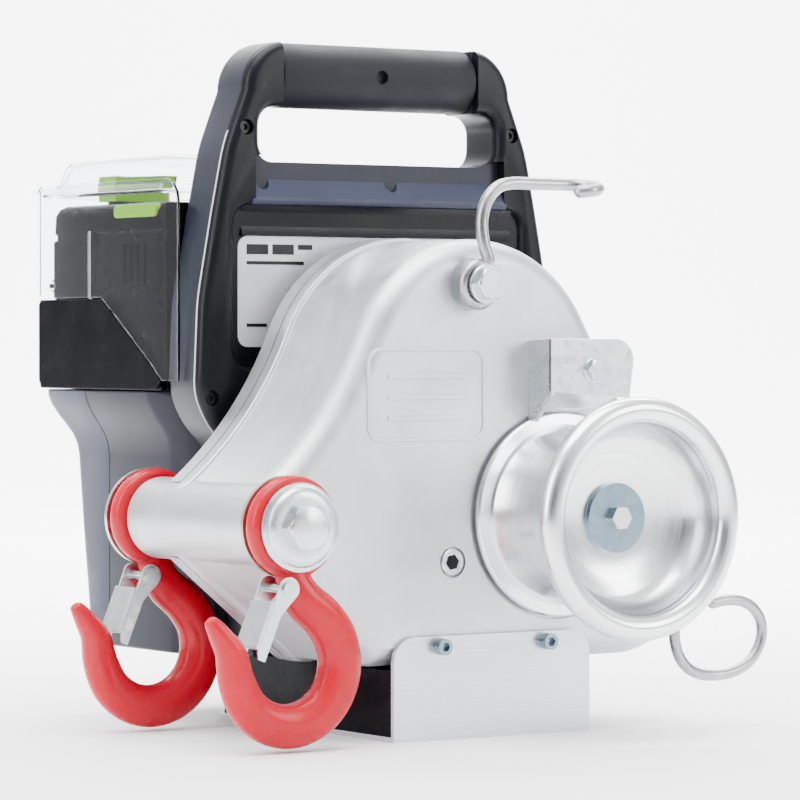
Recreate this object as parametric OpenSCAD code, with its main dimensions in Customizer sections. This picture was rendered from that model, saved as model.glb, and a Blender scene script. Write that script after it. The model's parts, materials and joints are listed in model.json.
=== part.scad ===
// Portable battery-powered capstan rope puller.
// Origin: centre of the base plate's underside. +Z up, +Y towards the rear,
// the rope drum points towards -Y and the anchor hooks hang at -X.

/* [Base] */
// Width of the base plate
base_w = 139; // [130:1:145]
// Depth of the base plate
base_d = 190; // [185:1:200]
// Thickness of the stainless sheet
base_t = 3; // [2:0.5:4]
// Height of the upturned front flange
flange_h = 60; // [56:1:66]

/* [Gear case] */
// Depth of the cast housing, front face to parting line
case_depth = 92; // [90:1:96]
// Wall of the cast housing
case_wall = 5; // [4:0.5:6]
// Height of the flat underside of the case
case_floor_z = 41; // [41:1:43]
// Height of the centre of the domed top
dome_z = 201; // [199:1:203]
// Radius of the domed top
dome_r = 90; // [88:1:91]
// Radius of the lower right corner of the case
lobe_r = 52; // [50:1:54]
// Thickness of the rear cover plate
back_t = 12; // [12:1:12]

/* [Rope drum] */
// Distance of the drum axis from the middle plane
drum_x = 47.5; // [45:0.5:50]
// Height of the drum axis
drum_z = 128; // [126:1:130]
// Radius of the narrow part of the barrel
drum_r = 42.5; // [40:0.5:45]
// Radius of the flared rim
rim_r = 70; // [66:1:72]
// Length of the drum
drum_len = 86; // [84:1:88]

/* [Anchor and hooks] */
// Side offset of the anchor bolt axis
anchor_x = -144; // [-145:1:-143]
// Height of the anchor bolt axis
anchor_z = 126; // [125:1:127]
// Outer radius of the cast anchor tube
anchor_r = 24; // [23:1:25]
// Rear end of the anchor tube
anchor_back_y = 39; // [36:1:39]
// Radius of the hook bowl, to the middle of the bar
bowl_r = 34.5; // [34:0.5:35]
// Radius of the hook bar
bar_r = 13; // [12.5:0.5:13]

/* [Housing] */
// Height to the top of the carry handle
handle_top = 408; // [405:1:410]
// Front face of the black shell
shell_y = 20; // [20:1:20]
// Wall of the moulded shells
wall = 3; // [2.5:0.5:3.5]
// Left side plane of the battery bay
bay_x = -130; // [-131:1:-129]
// Rear face of the battery bay
bay_back = 211; // [209:1:212]
// Ledge that carries the battery
ledge_z = 200; // [199:1:201]

/* [Battery] */
// Width, depth and height of the battery pack
pack = [87, 140, 109]; // [80:1:140]

/* [Hidden] */
$fn = 64;

case_front = -case_depth;
case_inner = case_front + case_wall;
dome = [-4, dome_z];
eps = 0.01;
run = 0.05;                       // radial clearance of running fits
anchor = [anchor_x, anchor_z];
drum_axis = [drum_x, drum_z];

// Gear train: output gear, intermediate pinion and gear, motor pinion
out_mod = 2.25;
out_teeth = 64;
mid_teeth = 16;
in_mod = 2;
in_teeth = 56;
motor_teeth = 14;
mid_dir = 128;                    // direction from the output axis to the intermediate axis
motor_dir = 240;                  // direction from the intermediate axis to the motor axis
mid_dist = out_mod * (out_teeth + mid_teeth) / 2;
motor_dist = in_mod * (in_teeth + motor_teeth) / 2;
mid_axis = [drum_x + mid_dist * cos(mid_dir), drum_z + mid_dist * sin(mid_dir)];
motor_axis = [mid_axis[0] + motor_dist * cos(motor_dir), mid_axis[1] + motor_dist * sin(motor_dir)];

// Shafts and bearings
out_r = 15;
out_rear_r = 12.5;
mid_r = 10;
rotor_r = 8.5;
out_bearing = [31, 16];           // outer radius and width, front
out_bearing_rear = [26, 14];
mid_bearing = [21, 12];
motor_bearing = [17.5, 10];
motor_r = 37;
motor_back = 104;

// Hook stations along Y, at the middle of each eye
front_eye_y = case_front - 12;
rear_eye_y = anchor_back_y + 8;
eye_r = 29;
eye_w = 12;
bush_r = 12;
bolt_r = 8;
hook_half = 9.5;                  // half thickness of the forged hook body
bowl = [-3, -77];                 // centre of the bowl from the anchor axis
tip = [-52, -52];
pivot = [-9, -34];                // latch pivot from the anchor axis
rivet_r = 2.5;

// Housing
handle_back = 60;
cap_back = 27;                    // parting line of the black front shell
window = [-86, 336, 86, 369];     // hand opening
grip_half = 70;
grip_r = (handle_top - window[3]) / 2;
grip_y = (shell_y + handle_back) / 2;
grip_z = (handle_top + window[3]) / 2;
tub_x = -113;
tub_right = 60;
tub_front = 62;
tub_split = 154;
tub_floor = 42;
cradle_right = -34;
lid_hinge = [215, 264];           // y and z of the lid hinge axis
pack_at = [bay_x + 3.5, 65, ledge_z + 4];
button_x = pack_at[0] + pack[0] / 2;

function arc(c, r, a0, a1, n = 16) =
  [for (i = [0 : n]) [c[0] + r * cos(a0 + (a1 - a0) * i / n), c[1] + r * sin(a0 + (a1 - a0) * i / n)]];
// Centre of the concave flank, tangent to the dome and to the anchor tube
function flank_centre(r) =
  let (d = norm(anchor - dome), p = dome_r + r, q = anchor_r + r,
       u = (anchor - dome) / d, a = (p * p - q * q + d * d) / (2 * d),
       h = sqrt(p * p - a * a))
  dome + a * u + h * [u[1], -u[0]];
flank_r = 220;
flank = flank_centre(flank_r);
flank_a = atan2(flank[1] - dome[1], flank[0] - dome[0]);
tube_a = atan2(flank[1] - anchor_z, flank[0] - anchor_x);
lobe = [101, case_floor_z + lobe_r];
lobe_v = lobe - dome;
top_a = atan2(lobe_v[1], lobe_v[0]) + acos((dome_r - lobe_r) / norm(lobe_v));
toe = [-75, case_floor_z + 14];
toe_r = 14;
toe_v = toe - anchor;
toe_a = atan2(toe_v[1], toe_v[0]) - acos((anchor_r - toe_r) / norm(toe_v)) + 360;
lug = [-13.5, 262.5];             // rope hook bolt

// Involute tooth outline
function inv_angle(rb, r) = let (t = sqrt(r * r / (rb * rb) - 1) * 180 / PI) t - atan(t * PI / 180);
function gear_points(m, z, slack = 0.15, pa = 20) =
  let (rp = m * z / 2, rb = rp * cos(pa), ra = rp + m * 0.95, rf = rp - m * 1.2,
       r0 = max(rb, rf), half = 90 / z - slack / rp * 90 / PI + inv_angle(rb, rp), n = 4)
  [for (k = [0 : z - 1]) let (a = 360 * k / z)
    each concat(
      [[rf * cos(a - half), rf * sin(a - half)]],
      [for (i = [0 : n]) let (r = r0 + (ra - r0) * i / n, w = half - inv_angle(rb, r))
        [r * cos(a - w), r * sin(a - w)]],
      [for (i = [n : -1 : 0]) let (r = r0 + (ra - r0) * i / n, w = half - inv_angle(rb, r))
        [r * cos(a + w), r * sin(a + w)]],
      [[rf * cos(a + half), rf * sin(a + half)]])];

// A flat XZ shape, thickened from y0 to y1
module slab(y0, y1) {
  translate([0, y1, 0]) rotate([90, 0, 0]) linear_extrude(y1 - y0) children();
}
// A flat YZ shape, thickened from x0 to x1
module side_slab(x0, x1) {
  translate([x0, 0, 0]) rotate([90, 0, 90]) linear_extrude(x1 - x0) children();
}
// A cylinder along Y
module rod_y(at, r, y0, y1) {
  translate([at[0], y1, at[1]]) rotate([90, 0, 0]) cylinder(r = r, h = y1 - y0);
}
// Rod along X; at is [y, z]
module rod_x(at, r, x0, x1) {
  translate([x0, at[0], at[1]]) rotate([0, 90, 0]) cylinder(r = r, h = x1 - x0);
}
module ring_y(at, r_out, r_in, y0, y1) {
  difference() {
    rod_y(at, r_out, y0, y1);
    rod_y(at, r_in, y0 - 1, y1 + 1);
  }
}
module gear_y(at, m, z, turn, bore, y0, y1) {
  translate([at[0], y1, at[1]]) rotate([90, 0, 0]) rotate([0, 0, turn]) linear_extrude(y1 - y0)
    difference() {
      polygon(gear_points(m, z));
      circle(r = bore);
    }
}
module box(lo, hi) {
  translate(lo) cube(hi - lo);
}
module rounded(lo, hi, r) {
  polygon(concat(
    arc([hi[0] - r, lo[1] + r], r, -90, 0, 6), arc([hi[0] - r, hi[1] - r], r, 0, 90, 6),
    arc([lo[0] + r, hi[1] - r], r, 90, 180, 6), arc([lo[0] + r, lo[1] + r], r, 180, 270, 6)));
}
// Round bar between two points
module bar(p, q, r) {
  v = q - p;
  translate(p) rotate([0, acos(v[2] / norm(v)), atan2(v[1], v[0])]) cylinder(r = r, h = norm(v), $fn = 40);
}
// Bend of a round bar in the XZ plane
module bend(c, bend_r, r, a0, a1) {
  translate(c) rotate([90, 0, 0]) rotate([0, 0, a0])
    rotate_extrude(angle = a1 - a0) translate([bend_r, 0]) circle(r = r, $fn = 40);
}
// Socket head screw along Y with its head's outer face at y
module socket_screw(at, y, r, long) {
  difference() {
    union() {
      rod_y(at, r * 1.6, y, y + 2 * r);
      rod_y(at, r, y + 2 * r - eps, y + 2 * r + long);
    }
    translate([at[0], y + r, at[1]]) rotate([90, 0, 0]) cylinder(r = r * 0.95, h = r + 1, $fn = 6);
  }
}
module hex_y(at, r, y0, y1) {
  translate([at[0], y1, at[1]]) rotate([90, 0, 0]) cylinder(r = r, h = y1 - y0, $fn = 6);
}

// Outline of the gear case, drawn inwards by an even margin
module case_outline(inset = 0) {
  polygon(concat(
    arc(lobe, lobe_r - inset, -90, top_a, 20),
    arc(dome, dome_r - inset, top_a, flank_a, 24),
    arc(flank, flank_r + inset, flank_a - 180, tube_a - 180, 14),
    arc(anchor, anchor_r - inset, tube_a, toe_a, 14),
    arc(toe, toe_r - inset, toe_a - 360, -90, 5)));
}
module case_cavity_outline() {
  intersection() {
    case_outline(case_wall);
    translate([-98, 0]) square([400, 300]);
  }
}
cover_bolt = [-26.5, 102];
back_bolts = [for (a = [20, 65, 110, 150]) dome + (dome_r - 7) * [cos(a), sin(a)],
              [lobe[0] + 44 * cos(-50), lobe[1] + 44 * sin(-50)], [-62, 50]];

// ---- base ----
module base_plate() {
  color("gainsboro") difference() {
    union() {
      box([-base_w / 2, -base_d / 2, 0], [base_w / 2, base_d / 2, base_t]);
      slab(-base_d / 2, -base_d / 2 + base_t) flange_outline();
    }
    for (s = [-1, 1]) rod_y([s * 37.5, 54], 3.2, -base_d / 2 - 1, -base_d / 2 + base_t + 1);
  }
}
module flange_outline() {
  r = 14;
  polygon(concat([[-base_w / 2, 0], [base_w / 2, 0]],
    arc([base_w / 2 - r, flange_h - r], r, 0, 90, 8), arc([r - base_w / 2, flange_h - r], r, 90, 180, 8)));
}
module base_block() {
  color([0.04, 0.04, 0.045]) difference() {
    box([-base_w / 2, -base_d / 2 + base_t, base_t], [base_w / 2 - 4, base_d / 2 - 5, case_floor_z]);
    for (x = [-52, -8, 36]) box([x, -70, base_t - 1], [x + 30, 70, case_floor_z - 6]);
  }
}
module base_screws() {
  color("silver") for (s = [-1, 1]) socket_screw([s * 37.5, 54], -base_d / 2 - 6, 3, 12);
}

// ---- gear case ----
module gear_case() {
  color([0.78, 0.79, 0.8]) difference() {
    union() {
      slab(case_front + 8, -eps) case_outline();
      // Front edge rounding, in steps
      for (i = [0 : 3])
        slab(case_front + 2 * i, case_front + 8) case_outline(8 - 8 * sin(acos(1 - (i + 0.5) / 4)));
      rod_y(anchor, anchor_r, case_front, anchor_back_y);
    }
    slab(case_front + case_wall, 1) case_cavity_outline();
    rod_y(anchor, bolt_r + 0.3, case_front - 1, anchor_back_y + 1);
    rod_y(drum_axis, 20, case_front - 1, case_front + case_wall + 1);
    rod_y(cover_bolt, 9, case_front - 1, case_front + 8.5);
    rod_y(lug, 4.3, case_front - 1, case_front + case_wall + 1);
    rod_y([58, 213], 3.1, case_front - 1, case_front + 10);
    rod_y([128.5, 66], 3.6, case_front - 1, case_front + 10);
    for (s = [-1, 1]) rod_y([s * 37.5, 54], 3.05, case_front - 1, case_front + 16);
    for (p = back_bolts) rod_y(p, 2.95, -16, 1);
  }
  // Bearing seats, bolt bosses and the cover bolt's well inside the casting
  color([0.78, 0.79, 0.8]) {
    for (p = back_bolts) ring_y(p, 6.5, 2.95, -16, -eps);
    difference() {
      rod_y(cover_bolt, 13, case_front + case_wall - eps, case_front + 20);
      rod_y(cover_bolt, 9, case_front, case_front + 8.5);
      rod_y(cover_bolt, 4.05, case_front, case_front + 21);
    }
    ring_y(drum_axis, out_bearing[0] + 6, out_bearing[0], case_inner - eps, case_inner + out_bearing[1]);
    ring_y(mid_axis, mid_bearing[0] + 5, mid_bearing[0], case_inner - eps, case_inner + mid_bearing[1]);
  }
}
module case_gasket() {
  color("dimgray") slab(0, 0.8) difference() {
    case_outline(0.6);
    case_cavity_outline();
    for (p = back_bolts) translate(p) circle(r = 3.3);
    translate(anchor) circle(r = anchor_r + 1.5);
  }
}
module case_back_plate() {
  color([0.76, 0.77, 0.78]) difference() {
    union() {
      slab(0.8, back_t) case_outline();
      rod_y(drum_axis, out_bearing_rear[0] + 5, -out_bearing_rear[1] - 1, 1);
      rod_y(mid_axis, mid_bearing[0] + 5, -mid_bearing[1] - 1, 1);
    }
    rod_y(anchor, anchor_r + 0.6, -1, back_t + 1);
    rod_y(drum_axis, out_bearing_rear[0], -out_bearing_rear[1] - 2, 0);
    rod_y(mid_axis, mid_bearing[0], -mid_bearing[1] - 2, 0);
    rod_y(motor_axis, motor_bearing[0], -1, motor_bearing[1]);
    rod_y(motor_axis, 11, 0, back_t + 1);
    for (p = back_bolts) {
      rod_y(p, 3.2, -1, back_t + 1);
      rod_y(p, 5.2, back_t - 5.8, back_t + 1);
    }
  }
}
module case_bolts() {
  color("silver") {
    for (p = back_bolts) translate([0, back_t, 0]) mirror([0, 1, 0]) socket_screw(p, 0, 2.9, 14);
    socket_screw(cover_bolt, case_front + 0.5, 4, 12);
  }
}
module oil_seal() {
  color("#222222") ring_y(drum_axis, 20, out_r + 0.06, case_front, case_front + case_wall);
}

// ---- bearings ----
// Sealed ball bearing, with its shields set back between the races
module bearing(at, r_out, r_in, y0, y1) {
  w = y1 - y0;
  gap = r_out - r_in;
  translate([at[0], y1, at[1]]) rotate([90, 0, 0]) rotate_extrude()
    polygon([[r_in + run, 0], [r_in + gap * 0.28, 0], [r_in + gap * 0.32, 0.8],
             [r_out - gap * 0.32, 0.8], [r_out - gap * 0.28, 0], [r_out, 0],
             [r_out, w], [r_out - gap * 0.28, w], [r_out - gap * 0.32, w - 0.8],
             [r_in + gap * 0.32, w - 0.8], [r_in + gap * 0.28, w], [r_in + run, w]]);
}
module output_bearings() {
  color("silver") {
    bearing(drum_axis, out_bearing[0], out_r, case_inner, case_inner + out_bearing[1]);
    bearing(drum_axis, out_bearing_rear[0], out_rear_r, -out_bearing_rear[1], 0);
  }
}
module intermediate_bearings() {
  color("silver") {
    bearing(mid_axis, mid_bearing[0], mid_r, case_inner, case_inner + mid_bearing[1]);
    bearing(mid_axis, mid_bearing[0], mid_r, -mid_bearing[1], 0);
  }
}
module motor_bearings() {
  color("silver") {
    bearing(motor_axis, motor_bearing[0], rotor_r, 0, motor_bearing[1]);
    bearing(motor_axis, 13, 6, motor_back - 9, motor_back - 1);
  }
}

// ---- gear train ----
module output_shaft() {
  color("lightsteelblue") difference() {
    union() {
      rod_y(drum_axis, 14, case_front - 53, case_front - 2);
      rod_y(drum_axis, out_r, case_front - 2 - eps, -out_bearing_rear[1] - 2);
      rod_y(drum_axis, out_r + 4, case_front + case_wall + out_bearing[1] + 1, case_front + 25);
      rod_y(drum_axis, out_rear_r, -out_bearing_rear[1] - 2 - eps, -1);
    }
    rod_y(drum_axis, 5, case_front - 54, case_front - 22);
  }
}
module output_gear() {
  color("slategray") difference() {
    gear_y(drum_axis, out_mod, out_teeth, mid_dir, out_r, -66, -46);
    for (a = [0 : 60 : 300])
      rod_y([drum_x + 45 * cos(a), drum_z + 45 * sin(a)], 12, -67, -45);
  }
}
module intermediate_shaft() {
  color("lightsteelblue") union() {
    rod_y(mid_axis, mid_r, case_front + case_wall + 0.5, -0.5);
    gear_y(mid_axis, out_mod, mid_teeth, mid_dir + 180 + 180 / mid_teeth, mid_r - 1, -68, -44);
  }
}
module intermediate_gear() {
  color("slategray") difference() {
    gear_y(mid_axis, in_mod, in_teeth, motor_dir, mid_r, -36, -22);
    for (a = [0 : 60 : 300])
      rod_y([mid_axis[0] + 31 * cos(a), mid_axis[1] + 31 * sin(a)], 9, -37, -21);
  }
}
module rotor_shaft() {
  color("lightsteelblue") union() {
    rod_y(motor_axis, rotor_r, -20, 80);
    rod_y(motor_axis, 6, 80 - eps, motor_back - 1.5);
    gear_y(motor_axis, in_mod, motor_teeth, motor_dir + 180 + 180 / motor_teeth, rotor_r - 1,
      -38, -20 + eps);
    rod_y(motor_axis, rotor_r, -38, -19);
  }
}
module rotor_core() {
  color("dimgray") ring_y(motor_axis, 20, rotor_r, 26, 76);
}
module cooling_fan() {
  color("black") {
    ring_y(motor_axis, 11, 6, 84, 92);
    for (a = [0 : 40 : 320])
      translate([motor_axis[0], 0, motor_axis[1]]) rotate([0, a, 0]) box([10.5, 85, -1], [28, 91, 1]);
  }
}
module motor_can() {
  color("dimgray") ring_y(motor_axis, motor_r, motor_r - wall, back_t, motor_back - 12);
}
module motor_stator() {
  color("peru") {
    ring_y(motor_axis, motor_r - wall, 26, 24, 78);
    for (a = [0 : 30 : 330])
      translate([motor_axis[0], 0, motor_axis[1]]) rotate([0, a, 0]) box([20.6, 26, -2.6], [27, 76, 2.6]);
  }
}
module motor_end_cap() {
  color("dimgray") difference() {
    rod_y(motor_axis, motor_r, motor_back - 12, motor_back);
    rod_y(motor_axis, motor_r - wall, motor_back - 13, motor_back - 10);
    rod_y(motor_axis, 13, motor_back - 11, motor_back - 1);
    for (a = [0 : 60 : 300])
      rod_y([motor_axis[0] + 24 * cos(a), motor_axis[1] + 24 * sin(a)], 5, motor_back - 11, motor_back + 1);
  }
}

// ---- rope drum ----
drum_root = case_front - 2;
washer_at = drum_len - 32;        // seat of the hub washer, from the drum root
module drum() {
  color([0.86, 0.87, 0.88]) translate([drum_x, drum_root, drum_z]) rotate([90, 0, 0])
    rotate_extrude($fn = 96)
    polygon(concat(
      [[14, 0], [60, 0], [60, 4], [52, 6]],
      arc([drum_r + 56, 34], 56, 213, 180, 8),
      arc([drum_r + 33, 36], 33, 180, 122, 10),
      arc([rim_r - 7.5, drum_len - 7.5], 7.5, 0, 180, 10),
      arc([rim_r - 39, drum_len - 8], 24, 0, -66, 8),
      [[31, washer_at], [14, washer_at]]));
}
module drum_washer() {
  color("lightblue") ring_y(drum_axis, 20, 5.3, drum_root - washer_at - 3, drum_root - washer_at);
}
module drum_bolt() {
  color("silver") union() {
    hex_y(drum_axis, 7, drum_root - washer_at - 8, drum_root - washer_at - 3);
    rod_y(drum_axis, 5, drum_root - washer_at - 4, drum_root - 24);
  }
}

// ---- rope guides ----
// Folded guard: front plate, left cheek back to the cover, and a lower lip that
// slopes back over the drum root
guard = [27, 87, 200, 231];       // left, right, bottom and top of the front plate
guard_y = case_front - 23;
module guide_bracket() {
  t = 3;
  color("lightgray") difference() {
    union() {
      slab(guard_y, guard_y + t) polygon(concat([[guard[0], guard[2]], [guard[1], guard[2]]],
        arc([guard[1] - 14, guard[3] - 14], 14, 0, 90, 6), [[guard[0], guard[3]]]));
      box([guard[0], guard_y, 188], [guard[0] + t, case_front, guard[3]]);
      side_slab(guard[0], guard[1] - 20)
        polygon([[guard_y, guard[2] + t], [guard_y, guard[2]],
                 [case_front - t - 1, guard[2] - 9.5], [case_front - t - 1, guard[2] - 9.5 + t]]);
      rod_y([58, 213], 7, guard_y + t - eps, case_front);
    }
    rod_y([58, 213], 3.3, guard_y - 1, case_front + 1);
  }
}
module guide_bolt() {
  color("silver") union() {
    hex_y([58, 213], 6.5, guard_y - 5, guard_y);
    rod_y([58, 213], 3, guard_y - eps, case_front + 9);
  }
}
// Bent stainless rod: eye on the lug bolt, riser, then a level pigtail
hook_rod = 3.8;
riser_x = lug[0] + 1;
hook_z = 321;
hook_bend = 19;
pigtail_r = 12;
pigtail_x = 47;
module rope_hook() {
  y = case_front - 9.5;
  color("silver") {
    ring_y(lug, 13, 6.2, y - 3.2, y + 3.2);
    bar([riser_x, y, lug[1] + 9.3], [riser_x, y, hook_z - hook_bend], hook_rod);
    bend([riser_x + hook_bend, y, hook_z - hook_bend], hook_bend, hook_rod, 90, 180);
    bar([riser_x + hook_bend, y, hook_z], [pigtail_x, y, hook_z], hook_rod);
    for (turn = [-180, -90, 0]) translate([pigtail_x, y - pigtail_r, hook_z]) rotate([0, 0, turn])
      rotate_extrude(angle = 90) translate([pigtail_r, 0]) circle(r = hook_rod, $fn = 40);
  }
}
module rope_hook_bolt() {
  color("silver") union() {
    ring_y(lug, 11, 4.4, case_front - 4.8, case_front);
    rod_y(lug, 6, case_front - 14, case_front - 4.7);
    ring_y(lug, 12, 4.4, case_front - 16, case_front - 13.2);
    hex_y(lug, 10, case_front - 22, case_front - 16);
    rod_y(lug, 4.2, case_front - 17, case_front + 9);
  }
}
// Open ring that leads the slack rope off the drum
ring_rod = 3.5;
ring_y_at = case_front - 8;
module exit_ring() {
  y = ring_y_at;
  low = 29;
  r = 22;
  left = 128.5 + r;
  color("silver") {
    bar([left - r, y, low + r], [left - r, y, 66], ring_rod);
    bar([left - r, case_front + 8, 66], [left - r, y - 3, 66], ring_rod);
    bend([left, y, low + r], r, ring_rod, 180, 270);
    bar([left, y, low], [left + 24, y, low], ring_rod);
    bend([left + 24, y, low + r], r, ring_rod, -90, 90);
    bar([left + 24, y, low + 2 * r], [left + 6, y, low + 2 * r], ring_rod);
  }
}

// ---- anchor and hooks ----
module anchor_bolt() {
  color("silver") union() {
    rod_y(anchor, bolt_r, front_eye_y - 15, rear_eye_y + 24);
    hex_y(anchor, 14, front_eye_y - 20, front_eye_y - 14);
  }
}
module anchor_cap() {
  color("silver") {
    ring_y(anchor, 25, bolt_r + 0.1, front_eye_y - 10, front_eye_y - 7);
    ring_y(anchor, 22, bolt_r + 0.1, front_eye_y - 14, front_eye_y - 10 + eps);
  }
}
module anchor_nut() {
  color("silver") {
    ring_y(anchor, 28.5, bolt_r + 0.1, rear_eye_y + 7, rear_eye_y + 9.5);
    difference() {
      hex_y(anchor, 14, rear_eye_y + 9.5 - eps, rear_eye_y + 21);
      rod_y(anchor, bolt_r, rear_eye_y + 9, rear_eye_y + 22);
    }
  }
}
module hook_bushes() {
  color("tan") {
    ring_y(anchor, bush_r, bolt_r + 0.1, front_eye_y - 7, case_front);
    ring_y(anchor, 28.5, bush_r - eps, front_eye_y + eye_w / 2 + 0.5, front_eye_y + eye_w / 2 + 3);
    ring_y(anchor, 22, bush_r - eps, front_eye_y + eye_w / 2 + 2.9, case_front);
    ring_y(anchor, bush_r, bolt_r + 0.1, anchor_back_y, rear_eye_y + 7);
    ring_y(anchor, 22, bush_r - eps, anchor_back_y, rear_eye_y - eye_w / 2 - 0.5);
  }
}
// Forged eye hook with its eye centred on the anchor axis at station y
module eye_hook(y) {
  at = [anchor_x, y, anchor_z];
  c = [anchor_x + bowl[0], anchor_z + bowl[1]];
  neck_top = [-1, -24];
  arm = [bowl[0] - bowl_r, bowl[1] + 1];
  difference() {
    union() {
      rod_y(anchor, eye_r, y - eye_w / 2, y + eye_w / 2);
      intersection() {
        union() {
          translate([c[0], y, c[1]]) rotate([90, 0, 0]) rotate([0, 0, 176])
            rotate_extrude(angle = 240, $fn = 72) translate([bowl_r, 0]) circle(r = bar_r, $fn = 40);
          translate(at) bar([bowl[0] + bowl_r * cos(52), 0, bowl[1] + bowl_r * sin(52)],
            [neck_top[0], 0, neck_top[1]], 12.5);
          translate(at + [arm[0], 0, arm[1]])
            rotate([0, -atan2(arm[0] - tip[0], tip[1] - arm[1]), 0])
              cylinder(r1 = bar_r - 0.3, r2 = 6, h = norm(tip - arm));
          translate(at + [tip[0], 0, tip[1]]) sphere(r = 6.4, $fn = 32);
        }
        slab(y - hook_half, y + hook_half) translate([anchor_x - 80, 0]) square([160, anchor_z - 20]);
      }
    }
    rod_y(anchor, eye_r + 0.3, y + eye_w / 2, y + 20);
    rod_y(anchor, eye_r + 0.3, y - 20, y - eye_w / 2);
    rod_y(anchor, bush_r + run, y - 20, y + 20);
    rod_y(anchor + pivot, rivet_r, y - 20, y + 20);
  }
}
// Bent sheet latch on the hook's rivet
latch_dir = atan2(-42, -17);
cheek_y = hook_half + 1.15;
module latch(y) {
  reach = 43;
  translate([anchor_x + pivot[0], y, anchor_z + pivot[1]]) rotate([0, -latch_dir, 0]) difference() {
    union() {
      for (s = [-1, 1]) {
        translate([0, s * cheek_y, 0]) rotate([90, 0, 0]) cylinder(r = 7, h = 1.5, center = true);
        box([0, s * cheek_y - 0.75, -6.6], [reach, s * cheek_y + 0.75, 5]);
      }
      box([12, -cheek_y - 0.75, -8], [31, cheek_y + 0.75, -6.5]);
    }
    rotate([90, 0, 0]) cylinder(r = rivet_r + run, h = 40, center = true);
  }
}
module latch_rivet(y) {
  union() {
    rod_y(anchor + pivot, rivet_r, y - 12, y + 12);
    for (s = [-1, 1]) rod_y(anchor + pivot, 4.5, y + s * 12.4 - 0.9, y + s * 12.4 + 0.9);
  }
}
module latch_spring(y) {
  translate([anchor_x + pivot[0], y, anchor_z + pivot[1]]) rotate([0, -latch_dir, 0])
    for (s = [-1, 1]) box([13, s * 7.4 - 0.6, -6.4], [27, s * 7.4 + 0.6, -5.2]);
}
module front_hook() {
  color([0.8, 0.06, 0.08]) eye_hook(front_eye_y);
}
module rear_hook() {
  color([0.8, 0.06, 0.08]) eye_hook(rear_eye_y);
}
module front_latch() {
  color("silver") latch(front_eye_y);
}
module rear_latch() {
  color("silver") latch(rear_eye_y);
}
module front_latch_rivet() {
  color("silver") latch_rivet(front_eye_y);
}
module rear_latch_rivet() {
  color("silver") latch_rivet(rear_eye_y);
}
module front_latch_spring() {
  color("gray") latch_spring(front_eye_y);
}
module rear_latch_spring() {
  color("gray") latch_spring(rear_eye_y);
}

// ---- housing ----
shell_side = [[88, tub_floor], [90, 150], [120, 180], [129, 198], [126.5, 254], [117.5, 303], [109, 345]];
// Outline of the handled shell, drawn inwards by an even margin
module shell_outline(inset = 0) {
  r = 30;
  right = concat([for (p = shell_side) [p[0] - inset, max(p[1], tub_floor + inset)]],
    arc([66, handle_top - r], r - inset, 0, 90, 10));
  n = len(right);
  polygon(concat(right, [for (i = [n - 1 : -1 : 0]) [-right[i][0], right[i][1]]]));
}
module window_outline(grow = 0) {
  rounded([window[0] - grow, window[1] - grow], [window[2] + grow, window[3] + grow], 12);
}
shell_screw_at = [[-96, 356], [96, 356], [-88, 324], [16, 324], [-120, 196], [120, 196]];
module front_shell() {
  color([0.07, 0.075, 0.085]) difference() {
    union() {
      slab(shell_y, cap_back) difference() {
        shell_outline();
        window_outline();
      }
      // Saddle that follows the back of the gear case
      slab(back_t, shell_y + eps) intersection() {
        case_outline(5);
        translate([-88, 44]) square([176, 300]);
      }
    }
    // Hollow behind the face
    slab(shell_y + wall, cap_back + 1) difference() {
      shell_outline(wall);
      window_outline(wall);
    }
    slab(back_t - 1, shell_y + wall + 1) difference() {
      case_outline(9);
      translate([-300, 0]) square([216, 400]);
      translate([84, 0]) square([216, 400]);
      square([600, 2 * 48], center = true);
    }
    box([-grip_half, shell_y - 1, window[3] - 1], [grip_half, cap_back + 1, handle_top + 1]);
    slab(shell_y - 1, shell_y + 1) rounded([-101, 228], [60, 294], 6);
    for (p = shell_screw_at) rod_y(p, 4, shell_y - 1, cap_back + 1);
  }
}
module label_plate() {
  color([0.74, 0.76, 0.79]) slab(shell_y + 0.2, shell_y + 1) difference() {
    rounded([-100.6, 228.4], [59.6, 293.6], 5.6);
    case_outline(-3);
  }
}
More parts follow.
